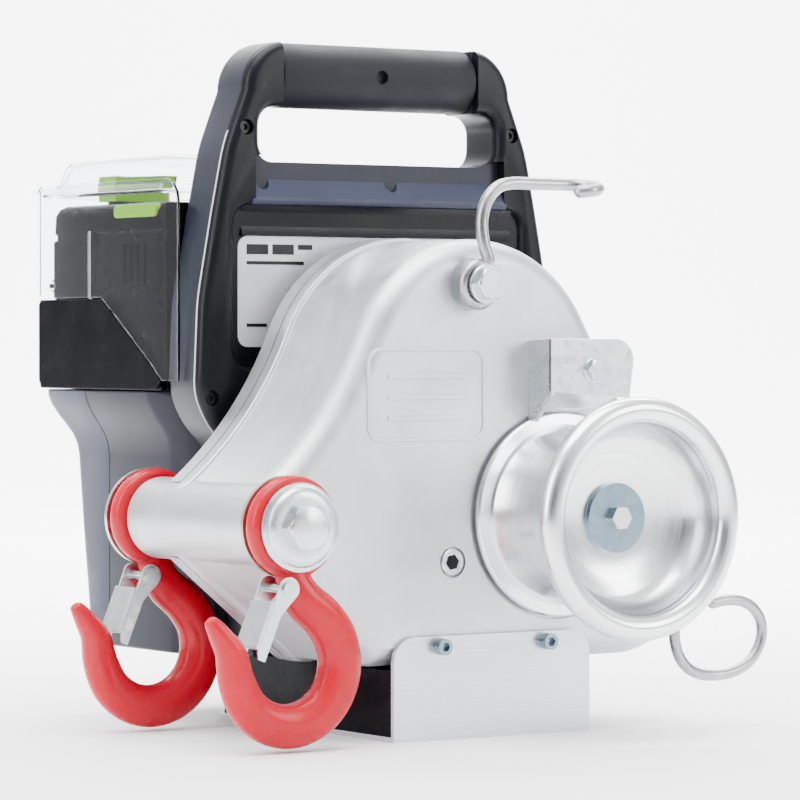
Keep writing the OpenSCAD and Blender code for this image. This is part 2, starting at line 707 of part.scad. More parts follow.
// Section of the flared top of the lower body, under the battery bay
module bay_flare(inset = 0) {
  polygon([[bay_x + inset, ledge_z - inset], [bay_x + inset, ledge_z - 10],
           [bay_x + 5 + inset, ledge_z - 22], [tub_x + inset, ledge_z - 40],
           [tub_right - inset, ledge_z - 40], [tub_right - inset, ledge_z - inset]]);
}
module mid_shell() {
  color([0.3, 0.32, 0.36]) difference() {
    union() {
      slab(cap_back, handle_back - 3) difference() {
        shell_outline();
        window_outline();
      }
      slab(handle_back - 3 - eps, handle_back) difference() {
        shell_outline(1.5);
        window_outline(1.5);
      }
      translate([0, 0, tub_floor]) linear_extrude(ledge_z - 39 - tub_floor)
        polygon([[tub_x + 16, tub_front - 4], [tub_right, tub_front - 4], [tub_right, tub_split],
                 [tub_x, tub_split], [tub_x, 76]]);
      slab(handle_back - eps, tub_split) bay_flare();
    }
    // Main hollow, window band kept closed
    slab(cap_back - 1, handle_back - wall) intersection() {
      shell_outline(wall);
      translate([-200, 0]) square([400, window[1] - wall]);
    }
    // Handle legs
    slab(cap_back - 1, handle_back - wall) intersection() {
      difference() {
        shell_outline(wall);
        window_outline(wall);
      }
      translate([-200, window[1] - 2]) square([400, window[3] - window[1]]);
    }
    translate([0, 0, tub_floor + wall]) linear_extrude(ledge_z - 39 - tub_floor)
      polygon([[-88 + wall, handle_back - wall - 1], [tub_right - wall, handle_back - wall - 1],
               [tub_right - wall, tub_split + 1], [tub_x + wall, tub_split + 1], [tub_x + wall, 78],
               [tub_x + 18, tub_front - 1]]);
    slab(handle_back - wall - 1, tub_front + 1) intersection() {
      shell_outline(wall);
      bay_flare(wall);
    }
    slab(tub_front, tub_split + 1) bay_flare(wall);
    box([-grip_half, cap_back - 1, window[3] - 1], [grip_half, handle_back + 1, handle_top + 1]);
  }
}
module rear_shell() {
  color([0.36, 0.38, 0.42]) difference() {
    union() {
      side_slab(tub_x, tub_right)
        polygon([[tub_split + 0.4, tub_floor], [176, tub_floor], [188, 60], [bay_back - 8, ledge_z - 30],
                 [bay_back, ledge_z - 18], [bay_back, ledge_z], [tub_split + 0.4, ledge_z]]);
      intersection() {
        slab(tub_split + 0.4, bay_back) bay_flare();
        side_slab(bay_x, tub_right)
          polygon([[tub_split, 100], [bay_back - 16, 100], [bay_back - 8, ledge_z - 30],
                   [bay_back, ledge_z - 18], [bay_back, ledge_z], [tub_split, ledge_z]]);
      }
    }
    side_slab(tub_x + wall, tub_right - wall)
      polygon([[tub_split - 1, tub_floor + wall], [175, tub_floor + wall], [185, 62],
               [bay_back - 12, ledge_z - 30], [bay_back - 4, ledge_z - 18],
               [bay_back - 4, ledge_z - wall], [tub_split - 1, ledge_z - wall]]);
    slab(tub_split - 1, bay_back - 5) bay_flare(wall);
  }
}
module controller_cover() {
  lo = [cradle_right, handle_back + 0.3, ledge_z + 0.2];
  hi = [tub_right, 200, 322];
  color([0.3, 0.32, 0.36]) difference() {
    side_slab(lo[0], hi[0])
      polygon([[lo[1], lo[2]], [hi[1], lo[2]], [hi[1], hi[2] - 30], [hi[1] - 30, hi[2]], [lo[1], hi[2]]]);
    side_slab(lo[0] + wall, hi[0] - wall)
      polygon([[lo[1] - 1, lo[2] - 1], [hi[1] - wall, lo[2] - 1], [hi[1] - wall, hi[2] - 31],
               [hi[1] - 31, hi[2] - wall], [lo[1] - 1, hi[2] - wall]]);
    for (z = [216 : 10 : 256]) box([-16, hi[1] - 5, z], [40, hi[1] + 1, z + 4]);
    translate([12, hi[1] + 1, 275]) rotate([90, 0, 0]) cylinder(r = 11.2, h = 6);
  }
}
module power_button() {
  color([0.75, 0.08, 0.06]) union() {
    rod_y([12, 275], 11, 198.5, 205);
    rod_y([12, 275], 12.5, 194, 196.8);
    rod_y([12, 275], 8, 196.7, 199);
  }
}
module grip_front() {
  color([0.2, 0.21, 0.23]) difference() {
    intersection() {
      translate([-grip_half, grip_y, grip_z]) rotate([0, 90, 0]) cylinder(r = grip_r, h = 2 * grip_half);
      box([-200, shell_y - 1, 300], [200, grip_y - 0.2, 500]);
    }
    translate([-grip_half - 1, grip_y, grip_z]) rotate([0, 90, 0])
      cylinder(r = grip_r - 5, h = 2 * grip_half + 2);
    rod_y([0, grip_z], 4, shell_y - 1, shell_y + 12);
  }
}
module grip_rear() {
  color([0.2, 0.21, 0.23]) difference() {
    intersection() {
      translate([-grip_half, grip_y, grip_z]) rotate([0, 90, 0]) cylinder(r = grip_r, h = 2 * grip_half);
      box([-200, grip_y, 300], [200, handle_back + 1, 500]);
    }
    translate([-grip_half - 1, grip_y, grip_z]) rotate([0, 90, 0])
      cylinder(r = grip_r - 5, h = 2 * grip_half + 2);
  }
}
module shell_screws() {
  color("#181818") for (p = shell_screw_at) difference() {
    rod_y(p, 3.9, shell_y + 2.5, cap_back - 0.2);
    translate([p[0], shell_y + 5, p[1]]) rotate([90, 0, 0]) cylinder(r = 2, h = 4, $fn = 6);
  }
}

// ---- battery bay ----
module battery_cradle() {
  color("#101012") difference() {
    union() {
      box([bay_x + 0.5, handle_back + 0.5, ledge_z], [cradle_right - 0.5, bay_back - 1, ledge_z + 3]);
      box([cradle_right - 4, handle_back + 0.5, ledge_z], [cradle_right - 0.5, bay_back - 1, 300]);
      box([bay_x + 3, handle_back + 0.5, ledge_z], [cradle_right - 0.5, handle_back + 3, 312]);
      // Outer wall, its top edge just under the lid, and the rear wall
      side_slab(bay_x - 1.5, bay_x + 1) polygon([[74, ledge_z], [61, 204.5], [74, 216], [132, 255.2],
        [bay_back - 0.2, 255.2], [bay_back - 0.2, ledge_z]]);
      box([bay_x - 1.5, bay_back - 2.7, ledge_z], [cradle_right - 0.5, bay_back - 0.2, 255.2]);
    }
    box([-96, 100, ledge_z - 1], [-72, 130, ledge_z + 5]);
  }
}
module battery_terminals() {
  color("goldenrod") for (x = [-92, -84, -76]) box([x - 1, 104, ledge_z], [x + 1, 126, ledge_z + 8]);
}
module battery_case() {
  lo = pack_at;
  hi = pack_at + pack;
  r = 8;
  color("#15161a") difference() {
    union() {
      translate([0, 0, lo[2]]) linear_extrude(pack[2] - 12) rounded([lo[0], lo[1]], [hi[0], hi[1]], r);
      translate([0, 0, hi[2] - 12.01]) linear_extrude(12.01)
        rounded([lo[0] + 2, lo[1] + 2], [hi[0] - 2, hi[1] - 2], r - 1);
    }
    for (x = [-92, -84, -76]) box([x - 2, 102, lo[2] - 1], [x + 2, 128, ledge_z + 22]);
  }
  color("#15161a") box([button_x - 16, hi[1] - 39, hi[2] - eps], [button_x + 16, hi[1] - 24, hi[2] + 6.5]);
}
module battery_button() {
  hi = pack_at + pack;
  color([0.55, 0.8, 0.15]) difference() {
    box([button_x - 19.5, hi[1] - 42, hi[2] + 3], [button_x + 19.5, hi[1] - 21, hi[2] + 19]);
    box([button_x - 16.4, hi[1] - 39.4, hi[2] + 2], [button_x + 16.4, hi[1] - 23.6, hi[2] + 8.6]);
  }
}
// Side profile of the clear lid, front edge at the shell
module lid_profile() {
  polygon([[41, 206], [41, 310], [50, 326], [bay_back, 326], [bay_back, 256], [132, 256], [74, 217],
           [60, 206]]);
}
module battery_lid() {
  t = 2.5;
  right = cradle_right - 5;
  color([0.85, 0.9, 0.95, 0.4]) difference() {
    union() {
      side_slab(bay_x - 2, bay_x + 0.5) lid_profile();
      side_slab(bay_x - 2, right) difference() {
        polygon([[62, 316], [62, 326], [bay_back, 326], [bay_back, 257.2], [bay_back - t, 257.2],
                 [bay_back - t, 326 - t], [64, 326 - t], [64, 316]]);
        polygon([[80, 320], [80, 330], [196, 330], [196, 320]]);
      }
      // Raised roof
      side_slab(bay_x + 8, right - 6) difference() {
        polygon([[78, 323.5], [90, 342], [186, 342], [198, 323.5]]);
        polygon([[81, 322], [92, 339.5], [184, 339.5], [195, 322]]);
      }
      for (x = [bay_x + 8, right - 8])
        side_slab(x, x + 2) polygon([[78, 323.5], [90, 342], [186, 342], [198, 323.5]]);
      side_slab(bay_x - 2, bay_x + 9) polygon([[62, 323.5], [62, 326], [bay_back, 326], [bay_back, 323.5]]);
      side_slab(right - 8, right) polygon([[62, 323.5], [62, 326], [bay_back, 326], [bay_back, 323.5]]);
      // Finger brim at the rear
      box([bay_x + 10, bay_back - 1, 323.5], [right - 10, bay_back + 20, 326]);
      // Hinge knuckles
      for (x = [bay_x + 12, right - 24]) {
        rod_x(lid_hinge, 4, x, x + 12);
        box([x, bay_back - 2, lid_hinge[1] - 4], [x + 12, lid_hinge[0], lid_hinge[1] + 4]);
      }
    }
    rod_x(lid_hinge, 1.5 + run, bay_x, bay_x + 120);
  }
}
module lid_hinge_pin() {
  color("silver") rod_x(lid_hinge, 1.5, bay_x + 10, bay_x + 90);
  // Hinge posts standing on the rear rim
  color("#101012") for (x = [bay_x + 25, cradle_right - 46]) difference() {
    union() {
      box([x, lid_hinge[0] - 3.2, ledge_z + 0.5], [x + 12, lid_hinge[0] + 3.2, lid_hinge[1]]);
      rod_x(lid_hinge, 3.7, x, x + 12);
    }
    rod_x(lid_hinge, 1.5, x - 1, x + 13);
  }
}
module lid_catch() {
  color("#202124") box([-96, handle_back + 0.1, 318], [-72, handle_back + 1.7, 332]);
}
module control_board() {
  color("darkgreen") {
    box([-26, 84, 212], [50, 178, 214]);
    for (p = [[-16, 100], [6, 100], [28, 100]]) translate([p[0], p[1], 214 - eps]) cylinder(r = 8, h = 22);
  }
}
module heat_sink() {
  color("silver") {
    box([-24, 130, 214], [48, 170, 220]);
    for (x = [-22 : 8 : 42]) box([x, 130, 220 - eps], [x + 3, 170, 242]);
  }
}

base_plate();
base_block();
base_screws();
gear_case();
case_gasket();
case_back_plate();
case_bolts();
oil_seal();
output_bearings();
intermediate_bearings();
motor_bearings();
motor_can();
motor_stator();
motor_end_cap();
drum();
drum_washer();
drum_bolt();
output_shaft();
output_gear();
intermediate_shaft();
intermediate_gear();
rotor_shaft();
rotor_core();
cooling_fan();
guide_bracket();
guide_bolt();
rope_hook();
rope_hook_bolt();
exit_ring();
anchor_bolt();
anchor_cap();
anchor_nut();
hook_bushes();
front_hook();
front_latch();
front_latch_rivet();
front_latch_spring();
rear_hook();
rear_latch();
rear_latch_rivet();
rear_latch_spring();
front_shell();
mid_shell();
rear_shell();
controller_cover();
grip_front();
grip_rear();
shell_screws();
label_plate();
battery_cradle();
battery_terminals();
battery_case();
battery_button();
battery_lid();
lid_hinge_pin();
lid_catch();
control_board();
heat_sink();
power_button();
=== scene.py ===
import json
import math

import bmesh
import bpy
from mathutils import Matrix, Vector


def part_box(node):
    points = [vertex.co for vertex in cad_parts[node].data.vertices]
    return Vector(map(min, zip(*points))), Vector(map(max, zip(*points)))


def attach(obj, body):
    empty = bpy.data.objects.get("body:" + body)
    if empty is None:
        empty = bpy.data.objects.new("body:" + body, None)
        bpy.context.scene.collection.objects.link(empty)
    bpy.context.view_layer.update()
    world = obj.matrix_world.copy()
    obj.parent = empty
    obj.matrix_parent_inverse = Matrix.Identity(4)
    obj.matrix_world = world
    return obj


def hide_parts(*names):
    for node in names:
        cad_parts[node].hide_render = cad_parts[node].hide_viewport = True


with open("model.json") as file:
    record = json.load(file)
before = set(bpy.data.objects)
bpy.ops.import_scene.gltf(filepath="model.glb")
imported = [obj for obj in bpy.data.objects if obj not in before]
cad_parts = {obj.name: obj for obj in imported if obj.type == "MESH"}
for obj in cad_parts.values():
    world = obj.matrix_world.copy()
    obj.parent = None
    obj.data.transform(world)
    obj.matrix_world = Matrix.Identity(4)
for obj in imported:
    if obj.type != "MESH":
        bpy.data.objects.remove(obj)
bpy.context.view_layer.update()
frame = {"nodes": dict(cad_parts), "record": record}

# Lengths below are millimetres in the CAD's own frame; make() turns them into metres.
MM = 0.001


def cad(node):
    """Lowest and highest corners of a CAD node, in millimetres."""
    lo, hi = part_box(node)
    return [v / MM for v in lo], [v / MM for v in hi]


# ---- named places, taken from the frame where a node gives them ----
case_lo, case_hi = cad("gear_case")
drum_lo, drum_hi = cad("drum")
cap_lo, cap_hi = cad("anchor_cap")
pack_lo, pack_hi = cad("battery_case")
lid_lo, lid_hi = cad("battery_lid")
grip_lo, grip_hi = cad("grip_front")

CASE_FRONT = case_lo[1]
ANCHOR = ((cap_lo[0] + cap_hi[0]) / 2, (cap_lo[2] + cap_hi[2]) / 2)
DRUM = ((drum_lo[0] + drum_hi[0]) / 2, (drum_lo[2] + drum_hi[2]) / 2)
DRUM_ROOT = drum_hi[1]
DRUM_LEN = drum_hi[1] - drum_lo[1]
RIM_R = (drum_hi[0] - drum_lo[0]) / 2
HOOK_PLANES = (("front", CASE_FRONT - 12), ("rear", case_hi[1] + 8))
SHELL_Y = grip_lo[1]
SHELL_EDGE = 7.0  # round of the shells' outer edges
SHELL_JOIN = SHELL_Y + SHELL_EDGE  # where the front and mid shells meet
HANDLE_TOP = grip_hi[2]
HANDLE_BACK = 60.0
DOME = (-4.0, 201.0)
DOME_R = 90.0
FLANK_R = 220.0
LOBE = (101.0, 93.0)
LOBE_R = 52.0
TOE = (-75.0, 55.0)
TOE_R = 14.0
ANCHOR_R = 24.0
LUG = (-13.5, 262.5)
COVER_BOLT = (-26.5, 102)
GUIDE_BOLT = (58, 213)
CORNER_SCREWS = [(-96, 356), (96, 356), (-120, 196), (120, 196)]
BAR_SCREWS = [(-82, 324), (10, 324)]
HAND_OPENING = (-86, 336, 86, 369, 12)  # x0, z0, x1, z1 and corner radius
SHELL_FOOT = 42
SHELL_TOP_HALF = 96
SHELL_TOP_R = 30.0
TUB_SPLIT = 154.0  # the tub's halves meet here, along Y
BAY_RIGHT = cad("battery_cradle")[1][0]
BAY_FLOOR = 200.2
SHARP_ANGLE = 32.0
NOISE_LOW, NOISE_HIGH = 0.3, 0.7


# ---- outlines ----
def arc(c, r, a0, a1, n):
    """Points on an arc, angles in degrees."""
    return [(c[0] + r * math.cos(math.radians(a0 + (a1 - a0) * i / n)),
             c[1] + r * math.sin(math.radians(a0 + (a1 - a0) * i / n))) for i in range(n + 1)]


def rounded_rect(x0, z0, x1, z1, r, n=6):
    return (arc((x1 - r, z0 + r), r, -90, 0, n) + arc((x1 - r, z1 - r), r, 0, 90, n)
            + arc((x0 + r, z1 - r), r, 90, 180, n) + arc((x0 + r, z0 + r), r, 180, 270, n))


def angle_of(v):
    return math.degrees(math.atan2(v[1], v[0]))


def case_outline(inset=0.0):
    """Outline of the gear case in XZ, drawn inwards by an even margin, as part.scad builds it."""
    dx, dz = ANCHOR[0] - DOME[0], ANCHOR[1] - DOME[1]
    d = math.hypot(dx, dz)
    p, q = DOME_R + FLANK_R, ANCHOR_R + FLANK_R
    a = (p * p - q * q + d * d) / (2 * d)
    h = math.sqrt(p * p - a * a)
    flank = (DOME[0] + (a * dx + h * dz) / d, DOME[1] + (a * dz - h * dx) / d)
    flank_a = angle_of((flank[0] - DOME[0], flank[1] - DOME[1]))
    tube_a = angle_of((flank[0] - ANCHOR[0], flank[1] - ANCHOR[1]))
    lobe_v = (LOBE[0] - DOME[0], LOBE[1] - DOME[1])
    top_a = angle_of(lobe_v) + math.degrees(math.acos((DOME_R - LOBE_R) / math.hypot(*lobe_v)))
    toe_v = (TOE[0] - ANCHOR[0], TOE[1] - ANCHOR[1])
    toe_a = angle_of(toe_v) - math.degrees(math.acos((ANCHOR_R - TOE_R) / math.hypot(*toe_v))) + 360
    return (arc(LOBE, LOBE_R - inset, -90, top_a, 30) + arc(DOME, DOME_R - inset, top_a, flank_a, 44)
            + arc(flank, FLANK_R + inset, flank_a - 180, tube_a - 180, 16)
            + arc(ANCHOR, ANCHOR_R - inset, tube_a, toe_a, 16)
            + arc(TOE, max(TOE_R - inset, 1.0), toe_a - 360, -90, 6))


SHELL_SIDE = [(88, 42), (90, 150), (120, 180), (129, 198), (126.5, 254), (117.5, 303), (109, 345)]


def soften(points, r=9, n=4):
    """An open run of corners with each inner corner turned into a short curve."""
    out = [points[0]]
    for a, b, c in zip(points, points[1:], points[2:]):
        ab = math.dist(a, b)
        bc = math.dist(b, c)
        s = min(r / ab, 0.45)
        t = min(r / bc, 0.45)
        p = (b[0] + (a[0] - b[0]) * s, b[1] + (a[1] - b[1]) * s)
        q = (b[0] + (c[0] - b[0]) * t, b[1] + (c[1] - b[1]) * t)
        for i in range(n + 1):
            k = i / n
            out.append(((1 - k) ** 2 * p[0] + 2 * k * (1 - k) * b[0] + k * k * q[0],
                        (1 - k) ** 2 * p[1] + 2 * k * (1 - k) * b[1] + k * k * q[1]))
    return out + [points[-1]]


def shell_outline(inset=0.0):
    """Outline of the handled shell in XZ."""
    corner = arc((SHELL_TOP_HALF - SHELL_TOP_R, HANDLE_TOP - SHELL_TOP_R), SHELL_TOP_R - inset, 0, 90, 12)
    side = soften([(x - inset, max(z, SHELL_FOOT + inset)) for x, z in SHELL_SIDE] + [corner[0]])
    right = side[:-1] + corner
    return right + [(-x, z) for x, z in reversed(right)]


# ---- mesh helpers ----
def make(name, verts, faces):
    mesh = bpy.data.meshes.new(name)
    mesh.from_pydata([tuple(c * MM for c in v) for v in verts], [], faces)
    obj = bpy.data.objects.new(name, mesh)
    bpy.context.scene.collection.objects.link(obj)
    bm = bmesh.new()
    bm.from_mesh(mesh)
    bmesh.ops.remove_doubles(bm, verts=bm.verts, dist=1e-6)
    bmesh.ops.recalc_face_normals(bm, faces=bm.faces)
    bm.to_mesh(mesh)
    bm.free()
    return obj


def loft(name, rings, closed=False):
    """Skin through rings of the same number of points: capped, or closed from the last ring to the first."""
    n = len(rings[0])
    verts = [p for ring in rings for p in ring]
    faces = []
    for k in range(len(rings) if closed else len(rings) - 1):
        a, b = k * n, ((k + 1) % len(rings)) * n
        faces += [(a + i, a + (i + 1) % n, b + (i + 1) % n, b + i) for i in range(n)]
    if not closed:
        faces += [tuple(range(n)), tuple(range(len(verts) - n, len(verts)))]
    return make(name, verts, faces)


def along_x(name, profile, xs):
    """A YZ profile swept along X."""
    return loft(name, [[(x, y, z) for y, z in profile] for x in xs])


def along_y(name, outline, ys):
    """An XZ outline swept along Y."""
    return loft(name, [[(x, y, z) for x, z in outline] for y in ys])


def along_z(name, plan, zs):
    """An XY plan swept along Z."""
    return loft(name, [[(x, y, z) for x, y in plan] for z in zs])


def slab(name, outline, layers):
    """An XZ outline function swept through (y, inset) layers."""
    return loft(name, [[(x, y, z) for x, z in outline(inset)] for y, inset in layers])


def lathe(name, profile, at, n=128):
    """A closed (radius, y) profile turned about the axis along Y through at = (x, z)."""
    rings = []
    for k in range(n):
        a = 2 * math.pi * k / n
        rings.append([(at[0] + r * math.cos(a), y, at[1] + r * math.sin(a)) for r, y in profile])
    return loft(name, rings, closed=True)


def box(name, lo, hi):
    (a, b, c), (d, e, f) = lo, hi
    verts = [(x, y, z) for x in (a, d) for y in (b, e) for z in (c, f)]
    faces = [(0, 1, 3, 2), (4, 5, 7, 6), (0, 1, 5, 4), (2, 3, 7, 6), (0, 2, 6, 4), (1, 3, 7, 5)]
    return make(name, verts, faces)


def smooth_path(points, per=8):
    """Catmull-Rom points through a list of 3-D points."""
    p = [Vector(q) for q in points]
    p = [2 * p[0] - p[1]] + p + [2 * p[-1] - p[-2]]
    out = []
    for i in range(1, len(p) - 2):
        for j in range(per):
            t = j / per
            out.append(0.5 * ((2 * p[i]) + (p[i + 1] - p[i - 1]) * t
                              + (2 * p[i - 1] - 5 * p[i] + 4 * p[i + 1] - p[i + 2]) * t * t
                              + (3 * p[i] - p[i - 1] - 3 * p[i + 1] + p[i + 2]) * t ** 3))
    return out + [p[-2]]


def rod(name, path, r, n=20):
    """Round bar along a dense path, with rounded ends."""
    rings = []
    side = None
    last = len(path) - 1
    for i, c in enumerate(path):
        t = (path[min(i + 1, last)] - path[max(i - 1, 0)]).normalized()
        if side is None:
            side = t.cross(Vector((0, 1, 0.1))).normalized()
        side = (side - t * side.dot(t)).normalized()
        up = t.cross(side)
        rings.append((c, t, side, up))
    # How far each end ring stands from the end, and how wide it is, both in parts of r
    ends = [(-0.9, 0.35), (-0.55, 0.78), (-0.2, 0.96)]
    full = [(rings[0][0] + rings[0][1] * r * (o + 0.2), rings[0][2], rings[0][3], k) for o, k in ends]
    full += [(c, s, u, 1.0) for c, t, s, u in rings]
    full += [(rings[-1][0] - rings[-1][1] * r * (o + 0.2), rings[-1][2], rings[-1][3], k)
             for o, k in reversed(ends)]
    turns = [2 * math.pi * j / n for j in range(n)]
    loops = []
    for c, s, u, k in full:
        loops.append([tuple(c + (s * math.cos(a) + u * math.sin(a)) * r * k) for a in turns])
    return loft(name, loops)


def join(name, parts):
    """One object from several, with their meshes simply placed together."""
    bm = bmesh.new()
    for part in parts:
        bm.from_mesh(part.data)
    mesh = bpy.data.meshes.new(name)
    bm.to_mesh(mesh)
    bm.free()
    for part in parts:
        bpy.data.objects.remove(part)
    obj = bpy.data.objects.new(name, mesh)
    bpy.context.scene.collection.objects.link(obj)
    return obj


def bake(obj):
    """Applies every modifier on obj."""
    view = bpy.context.evaluated_depsgraph_get()
    mesh = bpy.data.meshes.new_from_object(obj.evaluated_get(view))
    obj.modifiers.clear()
    obj.data = mesh


def cut(obj, tools):
    """Takes each tool's solid away from obj."""
    for tool in tools:
        mod = obj.modifiers.new("cut", "BOOLEAN")
        mod.operation = "DIFFERENCE"
        mod.object = tool
        mod.solver = "EXACT"
        bake(obj)
        bpy.data.objects.remove(tool)


def flared(name, x0, z0, x1, z1, r, layers):
    """A rounded rectangle tool that grows by g at each (y, g) layer, to leave rounded edges."""
    rings = []
    for y, g in layers:
        outline = rounded_rect(x0 - g, z0 - g, x1 + g, z1 + g, r + g, 10)
        rings.append([(x, y, z) for x, z in outline])
    return loft(name, rings)


def quarter(y_edge, r, way, n=6):
    """(y, inset) layers of a quarter round that ends at the outer face y_edge; way is +1 or -1 along Y."""
    out = []
    for i in range(n + 1):
        a = math.radians(90 * i / n)
        out.append((y_edge - way * (r - r * math.sin(a)), r - r * math.cos(a)))
    return out


def hex_head(at, r, y0, y1, washer=0.0):
    """Hexagon head along Y with its chamfered face at y0, and a thin flange when washer is set."""
    def ring(y, limit):
        pts = []
        for k in range(48):
            a = 2 * math.pi * k / 48
            edge = r * math.cos(math.pi / 6) / math.cos((a + math.pi / 6) % (math.pi / 3) - math.pi / 6)
            q = min(edge, limit)
            pts.append((at[0] + q * math.sin(a), y, at[1] + q * math.cos(a)))
        return pts

    chamfer = [(y0, 0.80), (y0 + 0.5, 0.88), (y0 + 1.1, 0.955), (y0 + 1.7, 1.0), (y1, 1.0)]
    parts = [loft("hex", [ring(y, r * k) for y, k in chamfer])]
    if washer:
        bore = r * 0.5
        flange = [(bore, y1 - 1.6), (washer - 0.6, y1 - 1.6), (washer, y1 - 1.0), (washer, y1), (bore, y1)]
        parts.append(lathe("flange", flange, at, 64))
    return parts


def pin(name, at, r, y0, y1, n=48):
    """A round bar along Y."""
    return along_y(name, arc(at, r, 0, 360, n)[:-1], (y0, y1))


def shade(obj):
    """Smooth shading, with edges kept sharp past SHARP_ANGLE."""
    bm = bmesh.new()
    bm.from_mesh(obj.data)
    limit = math.radians(SHARP_ANGLE)
    for face in bm.faces:
        face.smooth = True
    for edge in bm.edges:
        edge.smooth = len(edge.link_faces) == 2 and edge.calc_face_angle(0.0) < limit
    bm.to_mesh(obj.data)
    bm.free()


def soften_edges(obj, width, segments=3, angle=34.0):
    mod = obj.modifiers.new("soft edges", "BEVEL")
    mod.width = width * MM
    mod.segments = segments
    mod.limit_method = "ANGLE"
    mod.angle_limit = math.radians(angle)
    mod.harden_normals = True
    mod.use_clamp_overlap = True


def place(obj, material, body="machine", instead_of=(), edge=0.0, segments=3):
    """Gives a finished piece its name, its material, its edges and the body it rides on."""
    obj.name = "fine_" + obj.name.replace(" ", "_")
    obj.data.materials.clear()
    obj.data.materials.append(material)
    shade(obj)
    if edge:
        soften_edges(obj, edge, segments)
    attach(obj, body)
    if instead_of:
        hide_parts(*instead_of)
    return obj


# ---- materials ----
class Maker:
    """A Principled material with helpers for the nodes that vary over its surface."""

    def __init__(self, name, color, rough, metal=0.0):
        self.mat = bpy.data.materials.new(name)
        self.mat.use_nodes = True
        self.nodes = self.mat.node_tree.nodes
        self.links = self.mat.node_tree.links
        self.shader = self.nodes["Principled BSDF"]
        self.color = color
        self.shader.inputs["Base Color"].default_value = (*color, 1)
        self.shader.inputs["Roughness"].default_value = rough
        self.shader.inputs["Metallic"].default_value = metal
        self.coord = self.nodes.new("ShaderNodeTexCoord").outputs["Object"]
        self.height = None

    def set(self, **values):
        for key, value in values.items():
            self.shader.inputs[key.replace("_", " ")].default_value = value
        return self

    def stretched(self, scale):
        node = self.nodes.new("ShaderNodeMapping")
        node.inputs["Scale"].default_value = scale
        self.links.new(self.coord, node.inputs["Vector"])
        return node.outputs["Vector"]

    def noise(self, scale, detail=4.0, vector=None, rough=0.55):
        node = self.nodes.new("ShaderNodeTexNoise")
        node.inputs["Scale"].default_value = scale
        node.inputs["Detail"].default_value = detail
        node.inputs["Roughness"].default_value = rough
        self.links.new(vector or self.coord, node.inputs["Vector"])
        return node.outputs["Fac"]

    def spread(self, fac, lo, hi):
        node = self.nodes.new("ShaderNodeMapRange")
        node.inputs["From Min"].default_value = NOISE_LOW
        node.inputs["From Max"].default_value = NOISE_HIGH
        node.inputs["To Min"].default_value = lo
        node.inputs["To Max"].default_value = hi
        self.links.new(fac, node.inputs["Value"])
        return node.outputs["Result"]

    def vary_color(self, fac, low, high):
        ramp = self.nodes.new("ShaderNodeValToRGB")
        ramp.color_ramp.elements[0].position = NOISE_LOW
        ramp.color_ramp.elements[1].position = NOISE_HIGH
        ramp.color_ramp.elements[0].color = (*low, 1)
        ramp.color_ramp.elements[1].color = (*high, 1)
        self.links.new(fac, ramp.inputs["Fac"])
        self.links.new(ramp.outputs["Color"], self.shader.inputs["Base Color"])
        return self

    def vary_rough(self, fac, lo, hi):
        self.links.new(self.spread(fac, lo, hi), self.shader.inputs["Roughness"])
        return self

    def bump(self, fac, strength, distance):
        node = self.nodes.new("ShaderNodeBump")
        node.inputs["Strength"].default_value = strength
        node.inputs["Distance"].default_value = distance
        self.links.new(fac, node.inputs["Height"])
        if self.height:
            self.links.new(self.height, node.inputs["Normal"])
        self.height = node.outputs["Normal"]
        self.links.new(self.height, self.shader.inputs["Normal"])
        return self


def around(color, amount):
    return tuple(c * (1 - amount) for c in color), tuple(min(c * (1 + amount), 1.0) for c in color)


def cast_aluminium():
    m = Maker("cast aluminium", (0.56, 0.57, 0.59), 0.4, 0.85)
    m.vary_color(m.noise(35, 5), *around(m.color, 0.07))
    m.vary_rough(m.noise(60, 6), 0.36, 0.5)
    m.bump(m.noise(900, 3), 0.12, 0.0003).bump(m.noise(26, 3), 0.1, 0.0006)
    return m.mat


def turned_aluminium():
    m = Maker("turned aluminium", (0.78, 0.79, 0.81), 0.2, 1.0)
    shift = m.nodes.new("ShaderNodeMapping")
    shift.inputs["Location"].default_value = (-DRUM[0] * MM, 0, -DRUM[1] * MM)
    m.links.new(m.coord, shift.inputs["Vector"])
    split = m.nodes.new("ShaderNodeSeparateXYZ")
    m.links.new(shift.outputs["Vector"], split.inputs["Vector"])
    flat = m.nodes.new("ShaderNodeCombineXYZ")
    m.links.new(split.outputs["X"], flat.inputs["X"])
    m.links.new(split.outputs["Z"], flat.inputs["Y"])
    length = m.nodes.new("ShaderNodeVectorMath")
    length.operation = "LENGTH"
    m.links.new(flat.outputs["Vector"], length.inputs[0])
    turn = m.nodes.new("ShaderNodeCombineXYZ")
    m.links.new(length.outputs["Value"], turn.inputs["X"])
    m.links.new(split.outputs["Y"], turn.inputs["Y"])
    lines = m.noise(1400, 3, turn.outputs["Vector"])
    m.vary_color(m.noise(220, 3, turn.outputs["Vector"]), *around(m.color, 0.06))
    m.vary_rough(lines, 0.14, 0.3)
    m.bump(lines, 0.12, 0.0002)
    m.set(Anisotropic=0.5)
    return m.mat


def zinc(name="zinc plate", color=(0.60, 0.64, 0.66)):
    m = Maker(name, color, 0.3, 1.0)
    r, g, b = color
    m.vary_color(m.noise(90, 4), (r * 0.9, g * 0.97, b), (r * 1.12, g * 1.12, b * 1.05))
    m.vary_rough(m.noise(140, 5), 0.2, 0.4)
    m.bump(m.noise(500, 3), 0.06, 0.0003)
    return m.mat


def stainless():
    m = Maker("brushed stainless", (0.60, 0.61, 0.63), 0.3, 1.0)
    grain = m.noise(160, 6, m.stretched((0.25, 0.25, 9)))
    m.vary_color(grain, *around(m.color, 0.05))
    m.vary_rough(grain, 0.24, 0.4)
    m.bump(grain, 0.06, 0.0002)
    return m.mat


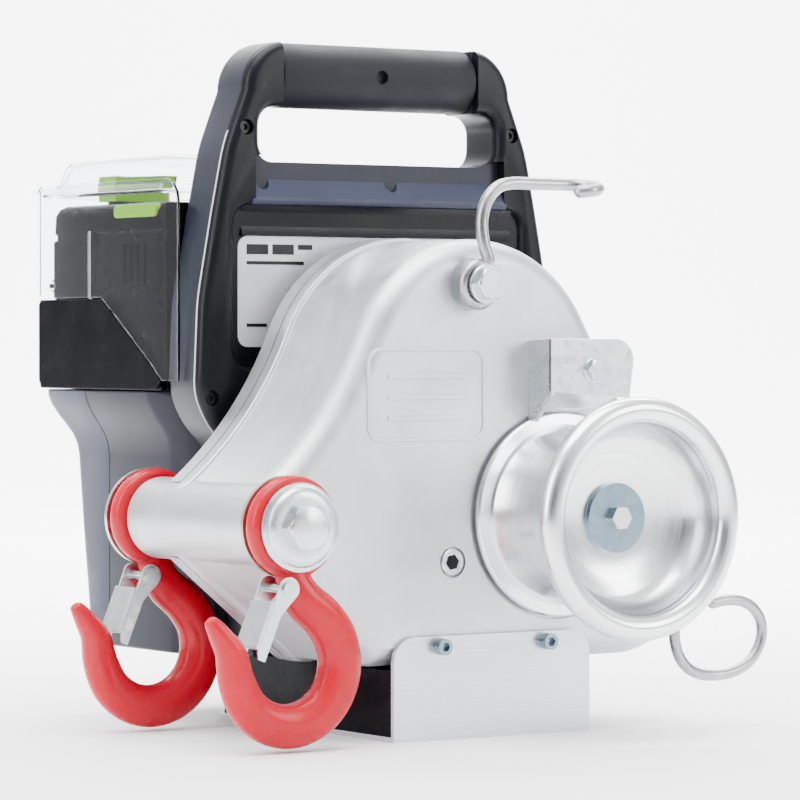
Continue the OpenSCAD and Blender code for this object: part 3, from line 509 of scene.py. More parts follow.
def red_paint():
    m = Maker("red hook paint", (0.40, 0.0005, 0.012), 0.26)
    m.vary_color(m.noise(45, 4), (0.37, 0.0004, 0.011), (0.43, 0.0007, 0.014))
    m.vary_rough(m.noise(70, 5), 0.2, 0.34)
    m.bump(m.noise(260, 3), 0.04, 0.0006).bump(m.noise(55, 2), 0.1, 0.0012)
    m.set(Specular_IOR_Level=0.14, Coat_Weight=0.12, Coat_Roughness=0.1)
    return m.mat


def moulding(name, color, rough, shine=0.25):
    """Moulded plastic with a fine spark-eroded grain."""
    m = Maker(name, color, rough)
    m.set(Specular_IOR_Level=shine)
    m.vary_color(m.noise(18, 5), *around(color, 0.09))
    m.vary_rough(m.noise(40, 5), rough - 0.05, rough + 0.08)
    m.bump(m.noise(1500, 2), 0.16, 0.0002)
    return m.mat


def rubber_grip():
    m = Maker("grip", (0.006, 0.007, 0.010), 0.42).set(Specular_IOR_Level=0.2)
    m.vary_color(m.noise(30, 4), *around(m.color, 0.12))
    m.vary_rough(m.noise(50, 5), 0.48, 0.62)
    m.bump(m.noise(2400, 2), 0.25, 0.0002)
    return m.mat


def clear_plastic():
    m = Maker("clear polycarbonate", (0.93, 0.95, 0.97), 0.06)
    m.vary_rough(m.noise(22, 3), 0.03, 0.1)
    m.bump(m.noise(14, 2), 0.05, 0.001)
    m.set(Transmission_Weight=1.0, IOR=1.18)
    return m.mat


def label_film():
    """Plain silvery film."""
    m = Maker("label film", (0.50, 0.53, 0.56), 0.32, 0.25)
    m.vary_color(m.noise(20, 3), (0.46, 0.49, 0.52), (0.58, 0.61, 0.64))
    m.vary_rough(m.noise(60, 4), 0.26, 0.4)
    m.bump(m.noise(800, 2), 0.05, 0.0002)
    return m.mat


def metal(name, color, rough):
    m = Maker(name, color, rough, 1.0)
    m.vary_color(m.noise(80, 4), *around(color, 0.08))
    m.vary_rough(m.noise(120, 5), rough - 0.06, rough + 0.08)
    m.bump(m.noise(700, 3), 0.06, 0.0002)
    return m.mat


MATERIALS = {
    "stainless": stainless(),
    # A darker copy of the stainless: painted shade for the rope hook and exit ring rods
    "rod_steel": metal("stainless rod painted in shade", (0.33, 0.33, 0.34), 0.3),
    # Zinc darkened as painted shade, for the base screws' dark socket holes and the drum washer
    "dull_zinc": zinc("dull zinc", (0.19, 0.25, 0.30)),
    "zinc": zinc(),
    "cast_aluminium": cast_aluminium(),
    "turned_aluminium": turned_aluminium(),
    "black_moulding": moulding("black moulding", (0.0034, 0.0037, 0.0056), 0.3, 0.16),
    "grey_moulding": moulding("grey moulding", (0.011, 0.013, 0.020), 0.34, 0.22),
    # A lighter copy of the grey moulding: painted light for the lit sloping bar and the tub's rear half
    "light_grey_moulding": moulding("light grey moulding", (0.025, 0.031, 0.052), 0.42, 0.2),
    # Bright plastic that paints the highlight along the shell's left parting edge
    "edge_highlight_paint": moulding("painted edge highlight", (0.42, 0.44, 0.47), 0.2, 0.5),
    "grip": rubber_grip(),
    "black_screw": metal("black screw", (0.03, 0.03, 0.03), 0.4),
    "label": label_film(),
    "gasket": moulding("gasket", (0.02, 0.02, 0.02), 0.6),
    "bearing_steel": metal("bearing steel", (0.6, 0.6, 0.62), 0.2),
    "motor_steel": metal("motor steel", (0.12, 0.12, 0.13), 0.4),
    "copper": metal("enamelled copper", (0.6, 0.25, 0.1), 0.3),
    "bronze": metal("bronze", (0.46, 0.42, 0.34), 0.35),
    "brass": metal("brass", (0.75, 0.58, 0.25), 0.25),
    "board": moulding("solder mask", (0.015, 0.10, 0.04), 0.3),
    "shaft_steel": metal("ground shaft", (0.5, 0.5, 0.52), 0.22),
    "gear_steel": metal("oiled gear steel", (0.32, 0.33, 0.35), 0.3),
    "spring_steel": metal("spring steel", (0.4, 0.4, 0.42), 0.3),
    "hook_red": red_paint(),
    "battery_black": moulding("battery black", (0.0006, 0.0008, 0.002), 0.24, 0.04),
    "lime": moulding("lime plastic", (0.16, 0.42, 0.002), 0.35),
    "red_button": moulding("red button", (0.55, 0.015, 0.015), 0.3),
    "clear_lid": clear_plastic(),
}


def dress_cad_nodes():
    """Every carried-over CAD node gets its slot's material, and softened edges unless it is one of the crisp
    ones.
    """
    slots = {row["node"]: row["material_slot"] for row in frame["record"]["subparts"]}
    crisp = {"output_gear", "intermediate_shaft", "intermediate_gear", "rotor_shaft", "case_gasket"}
    for node, obj in frame["nodes"].items():
        obj.data.materials.clear()
        obj.data.materials.append(MATERIALS[slots[node]])
        if node not in crisp:
            soften_edges(obj, 0.6, 2, 40)
    # The drum washer and base screws take the zinc with painted shade
    for node in ("drum_washer", "base_screws"):
        frame["nodes"][node].data.materials[0] = MATERIALS["dull_zinc"]
    frame["nodes"]["base_block"].data.materials[0] = MATERIALS["battery_black"]


dress_cad_nodes()


# ---- gear case ----
def build_gear_case():
    front, back = CASE_FRONT, case_hi[1]
    fillet = 15.0
    wall = 2.0  # the body stands this far inside the rear flange
    layers = [(-0.1, 0.8), (-0.7, 0.0), (-8.4, 0.0), (-9.2, 0.5), (-9.6, wall - 0.4), (-10.6, wall)]
    for a in range(0, 91, 9):
        t = math.radians(a)
        layers.append((front + fillet * (1 - math.sin(t)), wall + fillet * (1 - math.cos(t))))
    shell = slab("gear case", case_outline, layers)
    cut(shell, [pin("t", COVER_BOLT, 9, front - 5, front + 3.5),
                pin("t", LUG, 15, front - 5, front + 2.2),
                pin("t", DRUM, 61.5, front - 5, front + 1.6, 96)])
    place(shell, MATERIALS["cast_aluminium"], instead_of=["gear_case"], edge=0.7)
    bore = 8.4
    tube = [(bore, front), (ANCHOR_R - 1.2, front), (ANCHOR_R, front + 1.2),
            (ANCHOR_R, back - 1.2), (ANCHOR_R - 1.2, back), (bore, back)]
    place(lathe("anchor tube", tube, ANCHOR, 72), MATERIALS["cast_aluminium"],
          instead_of=["gear_case"])
    ring = [(5.0, front + 0.9), (5.0, front + 0.2), (7.2, front - 0.1), (7.6, front + 0.3),
            (7.6, front + 0.9)]
    place(lathe("bolt ring", ring, COVER_BOLT, 56), MATERIALS["zinc"])
    # A thin black hexagon inside the bolt ring: painted shade for the socket's hollow
    hexagon = arc(COVER_BOLT, 4.7, 10, 370, 6)[:-1]
    socket_shade = along_y("painted socket shade", hexagon, (front + 0.3, front + 0.8))
    place(socket_shade, MATERIALS["black_moulding"])
    # Plain raised panel with ribs, in the casting
    y0, y1 = front - 0.9, front + 0.6
    outer = rounded_rect(-86, 172, -4, 226, 9)
    inner = rounded_rect(-84, 174, -6, 224, 7.5)
    rim = [[(x, y, z) for x, z in line] for line, y in ((outer, y0), (outer, y1), (inner, y1), (inner, y0))]
    ribs = [along_y("rib", rounded_rect(-72, z0, -18, z0 + 3, 1.4, 4), (y0, y1)) for z0 in (184, 196, 208)]
    panel = join("cast panel", [loft("panel rim", rim, closed=True)] + ribs)
    place(panel, MATERIALS["cast_aluminium"], edge=0.4, segments=2)


# ---- drum ----
def build_drum():
    waist = 42.5
    seat = DRUM_LEN - 32
    lip = 7.5
    # (radius, distance from the root) along the outside and back along the hollow front
    outside = [(14, 0), (59, 0), (60, 1), (60, 3.4), (59, 4.4), (53, 5.6)]
    outside += arc((waist + 56, 34), 56, 212, 180, 14)
    outside += arc((waist + 33, 36), 33, 180, 122, 16)
    outside += arc((RIM_R - lip, DRUM_LEN - lip), lip, -20, 168, 18)
    inside = arc((RIM_R - 38, DRUM_LEN - 8), 24, -4, -58, 12) + [(38, seat + 1.6), (34, seat), (14, seat)]
    drum = lathe("rope drum", [(r, DRUM_ROOT - d) for r, d in outside + inside], DRUM, 180)
    place(drum, MATERIALS["turned_aluminium"], "drum_spindle", ["drum"])


# ---- hooks ----
def build_hook(side, y):
    """Forged eye hook: a swept bar and an eye, blended into one skin."""
    name, node = side + " hook", side + "_hook"
    bowl = (-3.0, -77.0)
    bar = 34.4
    start, end = 48, -166
    # Centre from the anchor, then half width in the hook's plane and across it
    keys = [((-1, -20), 9.5, 6.0), ((1, -31), 10.6, 7.6), ((8, -41.5), 11.8, 9.0)]
    sizes = [(12.4, 9.5), (12.8, 9.5), (13.0, 9.5), (13.0, 9.5), (12.9, 9.5), (12.7, 9.5), (12.2, 9.5),
             (11.4, 9.4), (10.4, 9.2)]
    for at, (a, b) in zip(arc(bowl, bar, start, end, len(sizes) - 1), sizes):
        keys.append((at, a, b))
    keys += [((-40, -69.5), 8.6, 8.6), ((-45.5, -61), 6.6, 7.4), ((-50.5, -54), 4.9, 5.6),
             ((-54, -50), 3.4, 3.8)]
    line = smooth_path([(at[0], at[1], 0) for at, a, b in keys], 6)
    width = smooth_path([(a, b, 0) for at, a, b in keys], 6)
    rings = []
    for i, c in enumerate(line):
        along = (line[min(i + 1, len(line) - 1)] - line[max(i - 1, 0)]).normalized()
        out = Vector((along.y, -along.x, 0))
        ring = []
        for j in range(32):
            s = 2 * math.pi * j / 32
            u = math.copysign(abs(math.cos(s)) ** 0.85, math.cos(s)) * width[i].x
            v = math.copysign(abs(math.sin(s)) ** 0.85, math.sin(s)) * width[i].y
            ring.append((ANCHOR[0] + c.x + out.x * u, y + v, ANCHOR[1] + c.y + out.y * u))
        rings.append(ring)
    skin = loft(name, rings)
    bore = 12.1
    half = [(bore, 4.6), (13.5, 5.9), (25.5, 5.9), (28, 4.4), (29, 1.5)]
    eye = lathe("eye", [(r, y - d) for r, d in half] + [(r, y + d) for r, d in reversed(half)], ANCHOR, 72)
    hook = join(name, [skin, eye])
    remesh = hook.modifiers.new("blend", "REMESH")
    remesh.mode = "VOXEL"
    remesh.voxel_size = 0.9 * MM
    soft = hook.modifiers.new("smooth", "SMOOTH")
    soft.factor = 0.5
    soft.iterations = 8
    bake(hook)
    cut(hook, [pin("t", ANCHOR, bore, y - 9, y + 9, 64)])
    place(hook, MATERIALS["hook_red"], node, [node])


def build_latch(side, y):
    """Folded sheet latch: two cheeks round the rivet and a web on the outer side."""
    rivet = (ANCHOR[0] - 9, ANCHOR[1] - 34)
    lean = math.atan2(-42, -17)
    ca, sa = math.cos(lean), math.sin(lean)
    reach = 43.0

    def at(u, v, w):
        """u runs from the rivet to the tip, v towards the outside of the hook's mouth, w across."""
        return (rivet[0] + u * ca + v * sa, y + w, rivet[1] + u * sa - v * ca)

    cheek = arc((0, 0), 6.8, 78, 250, 12)
    cheek += [(8, -6.2), (14, -6.6), (reach - 4, -6.6), (reach, -4.5), (reach, 0.2), (16, 0.6), (9, 3.2)]
    parts = [loft("cheek", [[at(u, -v, s * w) for u, v in cheek] for w in (10.0, 11.4)]) for s in (-1, 1)]
    strip = ((6.4, -11.3), (6.4, 11.3), (8.0, 11.3), (8.0, -11.3))
    parts.append(loft("web", [[at(u, v, w) for v, w in strip] for u in (10, 38)]))
    node = side + "_latch"
    place(join(side + " latch", parts), MATERIALS["zinc"], node, [node], edge=0.4)


# ---- rods ----
def build_rope_hook():
    y = CASE_FRONT - 9.5
    x = LUG[0] + 1
    turns = [math.radians(a) for a in range(318, 318 - 241, -40)]
    loop = [(LUG[0] + 11.4 * math.cos(a), y + 3 - 5.4 * k / 7, LUG[1] + 11.4 * math.sin(a))
            for k, a in enumerate(turns)]
    stem = [(x + 2.5, y - 2.2, LUG[1] + 15), (x, y - 1.2, LUG[1] + 24), (x - 0.5, y, 299), (x + 3, y, 310.5),
            (x + 11, y, 318.5), (x + 21, y, 321), (24, y, 321), (36, y, 321), (47, y, 321)]
    tip = [(55, y - 3.4, 320.6), (59, y - 11.5, 319.4), (56, y - 20, 318), (48.5, y - 24, 316.8),
           (40.5, y - 21.5, 316)]
    hook = rod("rope hook", smooth_path(loop + stem + tip, 8), 3.7)
    # The rope hook takes the stainless with painted shade
    place(hook, MATERIALS["rod_steel"], instead_of=["rope_hook"])


def build_exit_ring():
    y = CASE_FRONT - 8
    loop = [(128.6, 58), (129.6, 49), (133, 40.5), (139.5, 33.6), (149, 29.6), (160, 28.6), (172, 29.6),
            (183, 33.6), (191, 40.6), (195.6, 50), (195, 60), (189, 68), (180, 72.4), (168, 73.4),
            (157, 71.8)]
    path = [(128.5, CASE_FRONT + 4, 66), (128.5, y + 3, 65.6)] + [(px, y, pz) for px, pz in loop]
    ring = rod("exit ring", smooth_path(path, 8), 3.4)
    # The exit ring takes the stainless with painted shade
    place(ring, MATERIALS["rod_steel"], instead_of=["exit_ring"])


def build_guide():
    """Folded sheet guard above the drum."""
    t = 2.6
    front, face = CASE_FRONT, CASE_FRONT - 23
    x0, x1, z0, z1 = 27.0, 87.0, 200.0, 231.0
    outline = [(x0, z0), (x1 - 3, z0 - 4)] + arc((x1 - 13, z1 - 13), 13, 0, 90, 8) + [(x0, z1)]
    plate = along_y("plate", outline, (face, face + t))
    cheek = [(face + 0.2, z1), (front, z1 - 1), (front, 184), (front - 4, 180), (face + 0.2, z0 - 2)]
    side = along_x("side", cheek, (x0, x0 + t))

    def row(left, right, low, high):
        """One step of the lip, between its lower and upper (y, z)."""
        return [(left, *low), (left, *high), (right, *high), (right, *low)]

    lip = [[(x0 + 0.3, face, z0 + 1), (x0 + 0.3, face + t, z0 + 1),
            (x1 - 10, face + t, z0 - 2), (x1 - 10, face, z0 - 2)],
           row(x0 - 1, x1 - 22, (front - 14, z0 - 9), (front - 12, z0 - 7.5)),
           row(x0 - 2, x1 - 26, (front - 6, z0 - 12), (front - 4, z0 - 11))]
    post = pin("post", GUIDE_BOLT, 7, face + t, front)
    place(join("rope guard", [plate, side, loft("lip", lip), post]), MATERIALS["zinc"],
          instead_of=["guide_bracket"], edge=0.5)


def build_bolts():
    """Hexagon heads with chamfered faces, over the CAD bolts they stand for."""
    def head(name, node, at, r, washer):
        lo, hi = cad(node)
        y1 = lo[1] + 6
        parts = hex_head(at, r, lo[1], y1, washer) + [pin("shank", at, r * 0.5, y1 - 0.5, hi[1], 32)]
        place(join(name, parts), MATERIALS["zinc"], "machine", [node])

    head("anchor bolt head", "anchor_bolt", ANCHOR, 14, 0)
    head("guide bolt head", "guide_bolt", GUIDE_BOLT, 6.5, 7.2)
    y0 = cad("rope_hook_bolt")[0][1]
    parts = hex_head(LUG, 10, y0, y0 + 6.5, 11.6) + [pin("shank", LUG, 5.8, y0 + 6, CASE_FRONT - 0.1, 32)]
    place(join("lug bolt head", parts), MATERIALS["zinc"], instead_of=["rope_hook_bolt"])


def build_anchor_cap():
    y, back = cap_lo[1], cap_hi[1]
    profile = [(8.2, back), (24, back), (25, back - 0.8), (25, back - 2.4), (24, back - 3.2),
               (22.5, back - 3.4), (22.6, back - 4), (22, y + 2.2), (20.8, y + 0.9), (19, y + 0.2),
               (16, y), (8.2, y)]
    place(lathe("anchor cap", profile, ANCHOR, 96), MATERIALS["zinc"], instead_of=["anchor_cap"])


# ---- housing ----
def grip_slot(y0, y1):
    """Tool that clears the top rail of a shell for the grip."""
    return box("t", (-70.5, y0 - 5, 366), (70.5, y1 + 5, HANDLE_TOP + 5))


def build_front_shell():
    y, back = SHELL_Y, SHELL_JOIN
    rim = 0.9
    front_edge = [(a, b) for a, b in quarter(y, SHELL_EDGE - rim, -1) if a < back - rim]
    shell = slab("front shell", shell_outline, [(back - 0.1, rim), (back - rim, 0.1)] + front_edge)
    window = flared("t", *HAND_OPENING, [(back + 5, 0.0)] + quarter(y, 6.0, -1) + [(y - 4, 6.0)])
    bar_gap = box("t", (-90, y - 5, 306), (90, back + 5, 340))
    bevel = [(y - 4, 4.5), (y, 4.0), (y + 1, 2.2), (y + 2.4, 0.8), (y + 5, 0.0)]
    pocket = flared("t", -104, 214, 104, 310, 12, bevel)
    holes = [pin("t", p, 4.6, y - 5, y + 5) for p in CORNER_SCREWS]
    cut(shell, [window, bar_gap, grip_slot(y, back), pocket] + holes)
    place(shell, MATERIALS["black_moulding"], instead_of=["front_shell"], edge=0.7)
    saddle_half = 88

    def saddle_outline(inset):
        return [(min(max(x, -saddle_half), saddle_half), z) for x, z in case_outline(inset)]

    saddle = slab("saddle", saddle_outline, [(y + 1, 6), (12.2, 6)])
    place(saddle, MATERIALS["black_moulding"], edge=0.5)
    # Sloping bar under the hand opening, in the grey moulding painted lit where it faces the light
    profile = [(y + 1.2, 310.4), (y + 0.2, 311), (y - 0.2, 312.5), (y + 0.1, 314.5), (y + 1.2, 316.5),
               (y + 11.5, 332.5), (y + 14, 335.4), (y + 17, 336.6), (y + 39, 336.6), (y + 39, 310.4)]
    bar = along_x("handle bar", profile, (-92, 92))
    cut(bar, [pin("t", p, 4.4, y - 8, y + 16) for p in BAR_SCREWS])
    place(bar, MATERIALS["light_grey_moulding"], edge=0.8)
    screws = []
    for at, depth in [(p, 3) for p in CORNER_SCREWS] + [(p, 13) for p in BAR_SCREWS]:
        face = y + depth
        profile = [(0.01, face + 1.6), (2.0, face + 1.6), (2.0, face), (3.7, face), (3.95, face + 0.4),
                   (3.95, face + 3.4), (0.01, face + 3.4)]
        screws.append(lathe("head", profile, at, 40))
    place(join("shell screws", screws), MATERIALS["black_screw"], instead_of=["shell_screws"])
    # A thin bright rod along the left side of the parting line only: a painted highlight on the shell's edge
    edge_highlight_paint = [Vector((x, back - 0.2, z)) for x, z in shell_outline(0.35) if x < 0 and 150 < z < 372]
    place(rod("painted parting highlight", edge_highlight_paint, 0.75, 12), MATERIALS["edge_highlight_paint"])
    profile = [(y + 2.4, 292), (y + 5.2, 298), (y + 5.2, 306), (y + 2.6, 310.2), (y + 7.2, 310.6),
               (y + 7.2, 292)]
    place(along_x("recess", profile, (-98, 98)), MATERIALS["black_moulding"], edge=0.4)


def build_mid_shell():
    """Rear half of the handled shell, with the tub that carries the battery bay."""
    y0, y1 = SHELL_JOIN, HANDLE_BACK
    shell = slab("mid shell", shell_outline, [(y0 + 0.1, 0.9), (y0 + 0.9, 0.0)] + quarter(y1, SHELL_EDGE, 1))
    window = flared("t", *HAND_OPENING, [(y0 - 5, 0.0)] + quarter(y1, 6.0, 1) + [(y1 + 4, 6.0)])
    cut(shell, [window, grip_slot(y0, y1)])
    place(shell, MATERIALS["grey_moulding"], instead_of=["mid_shell"], edge=0.6)
    right = 60

    def tub(z, k):
        """Plan of the front half of the tub, its left side moved out by k."""
        left = [(-113 - k, TUB_SPLIT), (-113 - k, 82), (-111.5 - k, 78), (-99 - k * 0.8, 60),
                (-96 - k * 0.8, 58.2)]
        return [(x, y, z) for x, y in [(right, 58), (right, TUB_SPLIT)] + left]

    levels = [(42, -1.2), (43.2, 0), (160, 0), (166, 0.9), (172, 3.0), (178, 6.8), (184, 11.0), (190, 14.6),
              (195, 16.5), (198.8, 17), (199.6, 16.4)]
    body = loft("lower body", [tub(z, k) for z, k in levels])
    place(body, MATERIALS["grey_moulding"], edge=1.2)

    def rear(z, k, back):
        """Plan of the rear half, which ends at back."""
        front = TUB_SPLIT + 0.6
        left = [(-113 - k, front), (-113 - k, back - 12), (-110.5 - k, back - 5), (-105 - k, back - 1.4),
                (-98 - k, back)]
        corner = [(46, back), (54, back - 2.4), (59, back - 8), (right, back - 14), (right, front)]
        return [(x, y, z) for x, y in left + corner]

    rows = [(42, -1.2, 176), (43.2, 0, 177), (60, 0, 188), (110, 0, 195.5), (160, 0, 202), (166, 0.9, 203),
            (172, 3.0, 204.4), (178, 6.8, 206.4), (184, 11.0, 208.6), (190, 14.6, 210.2), (195, 16.5, 211),
            (198.8, 17, 211), (199.6, 16.4, 210.4)]
    half = loft("rear half", [rear(*row) for row in rows])
    # The tub's rear half takes the lighter grey: painted light where it turns toward the light
    place(half, MATERIALS["light_grey_moulding"], instead_of=["rear_shell"], edge=0.8)
    y0, y1 = TUB_SPLIT - 0.6, TUB_SPLIT + 1.2
    seam = along_z("seam", [(-112.4, y0), (-112.4, y1), (59.4, y1), (59.4, y0)], (43, 165))
    place(seam, MATERIALS["black_moulding"])


def build_cradle():
    """Black tray of the battery bay with its outer wall under the lid's edge."""
    x0, x1 = -131.5, BAY_RIGHT
    edge = [(76, 200.4), (66, 201.6), (62, 205), (63.5, 207.8), (74, 216), (131, 254.4), (134, 255.2),
            (208, 255.2), (210.8, 252.4), (210.8, 205), (207, 200.4)]
    parts = [along_x("cradle wall", edge, (x0, x0 + 0.7, x0 + 2.6)),
             box("floor", (x0 + 1, 62, BAY_FLOOR), (x1, 210, 203)),
             box("rear", (x0 + 1, 208.2, 201), (x1, 210.8, 255.2)),
             box("side", (x1 - 3.5, 61, BAY_FLOOR), (x1, 210, 300)),
             box("front", (-127, 60.6, BAY_FLOOR), (x1, 63, 312))]
    place(join("cradle", parts), MATERIALS["battery_black"],
          instead_of=["battery_cradle"], edge=0.6)


def build_grip():
    """Grip sleeve in two halves with end collars and a screw hole."""
    cy = (grip_lo[1] + cad("grip_rear")[1][1]) / 2
    cz = (grip_lo[2] + grip_hi[2]) / 2
    r = (grip_hi[2] - grip_lo[2]) / 2
    bore = r - 5

    def curve(x, q, start, end, n):
        angles = [math.radians(start + (end - start) * i / n) for i in range(n + 1)]
        return [(x, cy + q * math.sin(a), cz + q * math.cos(a)) for a in angles]

    stations = [(-70, r - 1.6), (-69.2, r - 0.5), (-67, r), (-30, r), (0, r), (30, r), (67, r),
                (69.2, r - 0.5), (70, r - 1.6)]
    for node, a0, a1 in (("grip_front", 181.2, 358.8), ("grip_rear", 1.2, 178.8)):
        rings = [curve(x, q, a0, a1, 40) + curve(x, bore, a1, a0, 20) for x, q in stations]
        half = loft(node.replace("_", " "), rings)
        if node == "grip_front":
            cut(half, [pin("t", (0, cz), 4.2, cy - r - 3, cy - r + 4)])
        place(half, MATERIALS["grip"], instead_of=[node], edge=0.5)


# ---- battery bay ----
def build_battery():
    neck_h = 6.5  # the CAD box of the case ends at the top of its neck
    lo, hi = pack_lo, (pack_hi[0], pack_hi[1], pack_hi[2] - neck_h)
    black = MATERIALS["battery_black"]

    def ring(z, k):
        return [(x, y, z) for x, y in rounded_rect(lo[0] + k, lo[1] + k, hi[0] - k, hi[1] - k, 9, 6)]

    foot = [(0, 3), (1, 1.2), (3, 0.4), (5, 0), (44, 0), (45, 1.4), (47, 1.4), (48, 0)]
    shoulder = [(22, 0), (21, 1.6), (18, 1.6), (17, 0.6), (6, 1), (2, 3), (0, 6)]
    rings = [ring(lo[2] + up, k) for up, k in foot] + [ring(hi[2] - down, k) for down, k in shoulder]
    body = loft("battery pack", rings)
    vents = [lo[1] + 20 + 8 * k for k in range(4)]
    cut(body, [box("t", (lo[0] - 2, y, lo[2] + 60), (lo[0] + 1.2, y + 2.6, lo[2] + 84)) for y in vents])
    place(body, black, "battery", ["battery_case"], edge=0.5)
    button_lo, button_hi = cad("battery_button")
    mx, my = (button_lo[0] + button_hi[0]) / 2, (button_lo[1] + button_hi[1]) / 2
    plan = rounded_rect(mx - 16, my - 7.5, mx + 16, my + 7.5, 3, 5)
    neck = along_z("battery neck", plan, (hi[2] - 1, hi[2] + 6.4))
    place(neck, black, "battery", edge=0.5)
    # A thin rib on the battery's side in bright steel: a painted highlight along a lit edge
    profile = rounded_rect(lo[1] + 86, lo[2] + 22, lo[1] + 89.4, hi[2] - 16, 1.6, 5)
    rail = along_x("battery highlight rib", profile, (lo[0] + 0.5, lo[0] - 0.9))
    place(rail, MATERIALS["shaft_steel"], "battery", edge=0.4)
    profile = rounded_rect(lo[1] + 8, hi[2] - 9, lo[1] + 58, hi[2] - 1.4, 3, 5)
    strip = along_x("battery strip", profile, (lo[0] + 8, lo[0] - 0.6))
    place(strip, MATERIALS["lime"], "battery", edge=0.5)


def build_lid():
    """Clear lid: a side wall, a raised roof and a rear wall with its hinge knuckles."""
    x0, x1 = lid_lo[0], BAY_RIGHT - 4.5
    t = 2.4
    front, back, top = 41, 211.0, 326.0
    hinge = (215.0, 264.0)
    side = [(front, 206), (60, 206), (74, 217), (132, 256), (back, 256)]
    side += arc((back - 6, top - 6), 6, 0, 90, 5) + arc((front + 15, top - 15), 15, 90, 180, 8)
    parts = [along_x("wall", side, (x0, x0 + t))]

    def roof(z, k):
        """A rounded rectangle at z, drawn in by k."""
        plan = rounded_rect(x0 + 1 + k, 62 + k, x1 - k, back - 0.5 - k, 6 + k * 0.3, 5)
        return [(x, y, z) for x, y in plan]

    shape = [(-6.2, 0.2), (-5.6, 0.9), (-4.4, 2.3), (-2.6, 4.4), (-1.2, 6.2), (0.4, 7.2), (3, 7.8), (10, 9.6),
             (13.4, 11.6), (15.2, 14.6), (16, 20)]
    sheet = 2.2
    inner = [roof(top + z - sheet, k + sheet) for z, k in reversed(shape)]
    outer = [roof(top + z, k) for z, k in shape]
    parts.append(loft("roof", inner + outer))
    parts.append(box("rear wall", (x0 + t, back - t, 257.2), (x1, back, top - 3)))
    parts.append(box("brim", (x0 + 5, back - 1.5, top - 4.4), (x1 - 5, lid_hi[1] - 0.5, top - 1.4)))
    knuckle = arc(hinge, 4, 0, 360, 24)[:-1]
    parts += [along_x("knuckle", knuckle, (x, x + 12)) for x in (x0 + 14, x1 - 24)]
    place(join("battery lid", parts), MATERIALS["clear_lid"], "lid", ["battery_lid"], edge=0.6)


def build_label():
    """Generic marks on the label: plain bars, with no lettering."""
    y = SHELL_Y + 4.2
    plate = along_y("label", rounded_rect(-100, 226, 60, 292, 7, 6), (y + 1.2, y))
    place(plate, MATERIALS["label"], instead_of=["label_plate"], edge=0.3)
    bars = [(-94, 281, 15, 6), (-76, 281, 15, 6), (-58, 284, 10, 3), (-94, 275, 40, 2), (-94, 238, 14, 2)]
    marks = [box("mark", (x, y - 0.25, z), (x + w, y + 0.2, z + h)) for x, z, w, h in bars]
    place(join("label marks", marks), MATERIALS["black_screw"])


build_gear_case()
build_drum()
for hook_side, hook_y in HOOK_PLANES:
    build_hook(hook_side, hook_y)
for hook_side, hook_y in HOOK_PLANES:
    build_latch(hook_side, hook_y)
build_rope_hook()
build_exit_ring()
build_guide()
build_bolts()
build_anchor_cap()
build_front_shell()
build_mid_shell()
build_grip()
build_cradle()
build_battery()
build_lid()
build_label()


# ---- floor, light and camera ----
def build_stage():
    """A pale floor that curves up into a wall behind the object."""
    half, depth, bend, top = 6.0, 3.2, 1.5, 6.0
    curve = [(depth + bend * math.sin(t), bend - bend * math.cos(t))
             for t in [math.radians(a) for a in range(0, 91, 10)]]
    profile = [(-4.0, 0.0)] + curve + [(depth + bend, top)]
    verts = [(x, y, z) for y, z in profile for x in (-half, half)]
    faces = [(2 * i, 2 * i + 1, 2 * i + 3, 2 * i + 2) for i in range(len(profile) - 1)]
    mesh = bpy.data.meshes.new("floor")
    mesh.from_pydata(verts, [], faces)
    floor = bpy.data.objects.new("floor", mesh)
    bpy.context.scene.collection.objects.link(floor)
    floor.rotation_euler = (0, 0, math.radians(-34))
    for poly in mesh.polygons:
        poly.use_smooth = True
    m = Maker("floor", (0.93, 0.93, 0.94), 0.6)
    m.vary_color(m.noise(0.8, 2), (0.925, 0.925, 0.935), (0.935, 0.935, 0.945))
    mesh.materials.append(m.mat)


def area(name, at, aim, size, power, color=(1, 1, 1)):
    light = bpy.data.lights.new(name, "AREA")
    light.shape = "RECTANGLE"
    light.size, light.size_y = size
    light.energy = power
    light.color = color
    obj = bpy.data.objects.new(name, light)
    obj.location = at
    obj.rotation_euler = (Vector(aim) - Vector(at)).to_track_quat("-Z", "Y").to_euler()
    bpy.context.scene.collection.objects.link(obj)


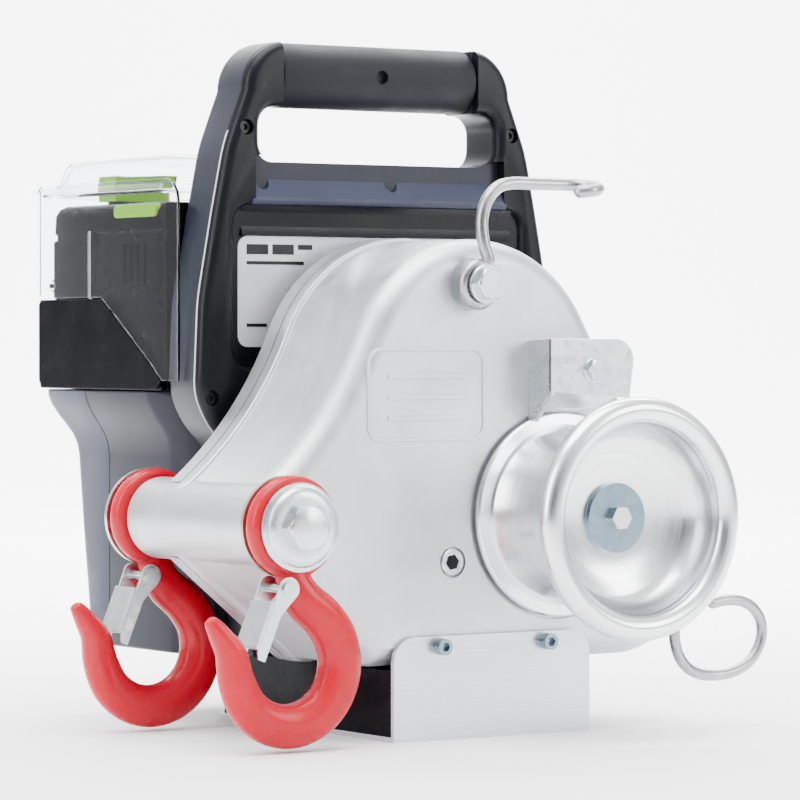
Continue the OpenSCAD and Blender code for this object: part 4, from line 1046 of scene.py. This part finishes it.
def build_light():
    world = bpy.data.worlds.new("studio")
    world.use_nodes = True
    nodes, links = world.node_tree.nodes, world.node_tree.links
    direction = nodes.new("ShaderNodeTexCoord").outputs["Generated"]
    split = nodes.new("ShaderNodeSeparateXYZ")
    links.new(direction, split.inputs["Vector"])
    ramp = nodes.new("ShaderNodeValToRGB")
    for position, level in ((0.45, 0.55), (0.58, 0.42), (0.72, 0.8)):
        ramp.color_ramp.elements.new(position).color = (level, level, level * 1.03, 1)
    ramp.color_ramp.elements[0].color = (0.7, 0.7, 0.7, 1)
    lift = nodes.new("ShaderNodeMapRange")
    lift.inputs["From Min"].default_value = -1.0
    links.new(split.outputs["Z"], lift.inputs["Value"])
    links.new(lift.outputs["Result"], ramp.inputs["Fac"])
    # A darker patch of the room at the front left, mirrored by the bright metals
    facing = nodes.new("ShaderNodeVectorMath")
    facing.operation = "DOT_PRODUCT"
    facing.inputs[1].default_value = (-0.55, -0.82, 0.12)
    links.new(direction, facing.inputs[0])
    patch = nodes.new("ShaderNodeMapRange")
    patch.inputs["From Min"].default_value = 0.72
    patch.inputs["From Max"].default_value = 0.97
    patch.inputs["To Min"].default_value = 1.0
    patch.inputs["To Max"].default_value = 0.22
    links.new(facing.outputs["Value"], patch.inputs["Value"])
    shade_off = nodes.new("ShaderNodeVectorMath")
    shade_off.operation = "SCALE"
    links.new(ramp.outputs["Color"], shade_off.inputs["Vector"])
    links.new(patch.outputs["Result"], shade_off.inputs["Scale"])
    links.new(shade_off.outputs["Vector"], nodes["Background"].inputs["Color"])
    nodes["Background"].inputs["Strength"].default_value = 2.3
    bpy.context.scene.world = world
    middle = (0, 0, 0.2)
    area("top", (-0.3, -0.2, 1.9), middle, (1.5, 1.5), 74)
    area("left", (-1.9, -0.2, 0.9), middle, (0.9, 1.5), 34)
    area("right", (1.3, -1.8, 1.0), middle, (0.8, 1.2), 30)
    area("backdrop", (0.9, 1.4, 2.4), (1.9, 2.9, 0.4), (3.0, 1.4), 700)


def build_camera():
    """Looks at the object from its front left, a little above the drum, with a long lens."""
    yaw, pitch, away = math.radians(34.0), math.radians(0.89), 2.2857
    target = Vector((-0.0636, -0.0924, 0.196))
    forward = Vector((math.sin(yaw) * math.cos(pitch), math.cos(yaw) * math.cos(pitch), -math.sin(pitch)))
    camera = bpy.data.cameras.new("camera")
    camera.lens = 180
    camera.sensor_width = 36
    obj = bpy.data.objects.new("camera", camera)
    obj.location = target - forward * away
    obj.rotation_euler = forward.to_track_quat("-Z", "Y").to_euler()
    bpy.context.scene.collection.objects.link(obj)
    bpy.context.scene.camera = obj


build_stage()
build_light()
build_camera()
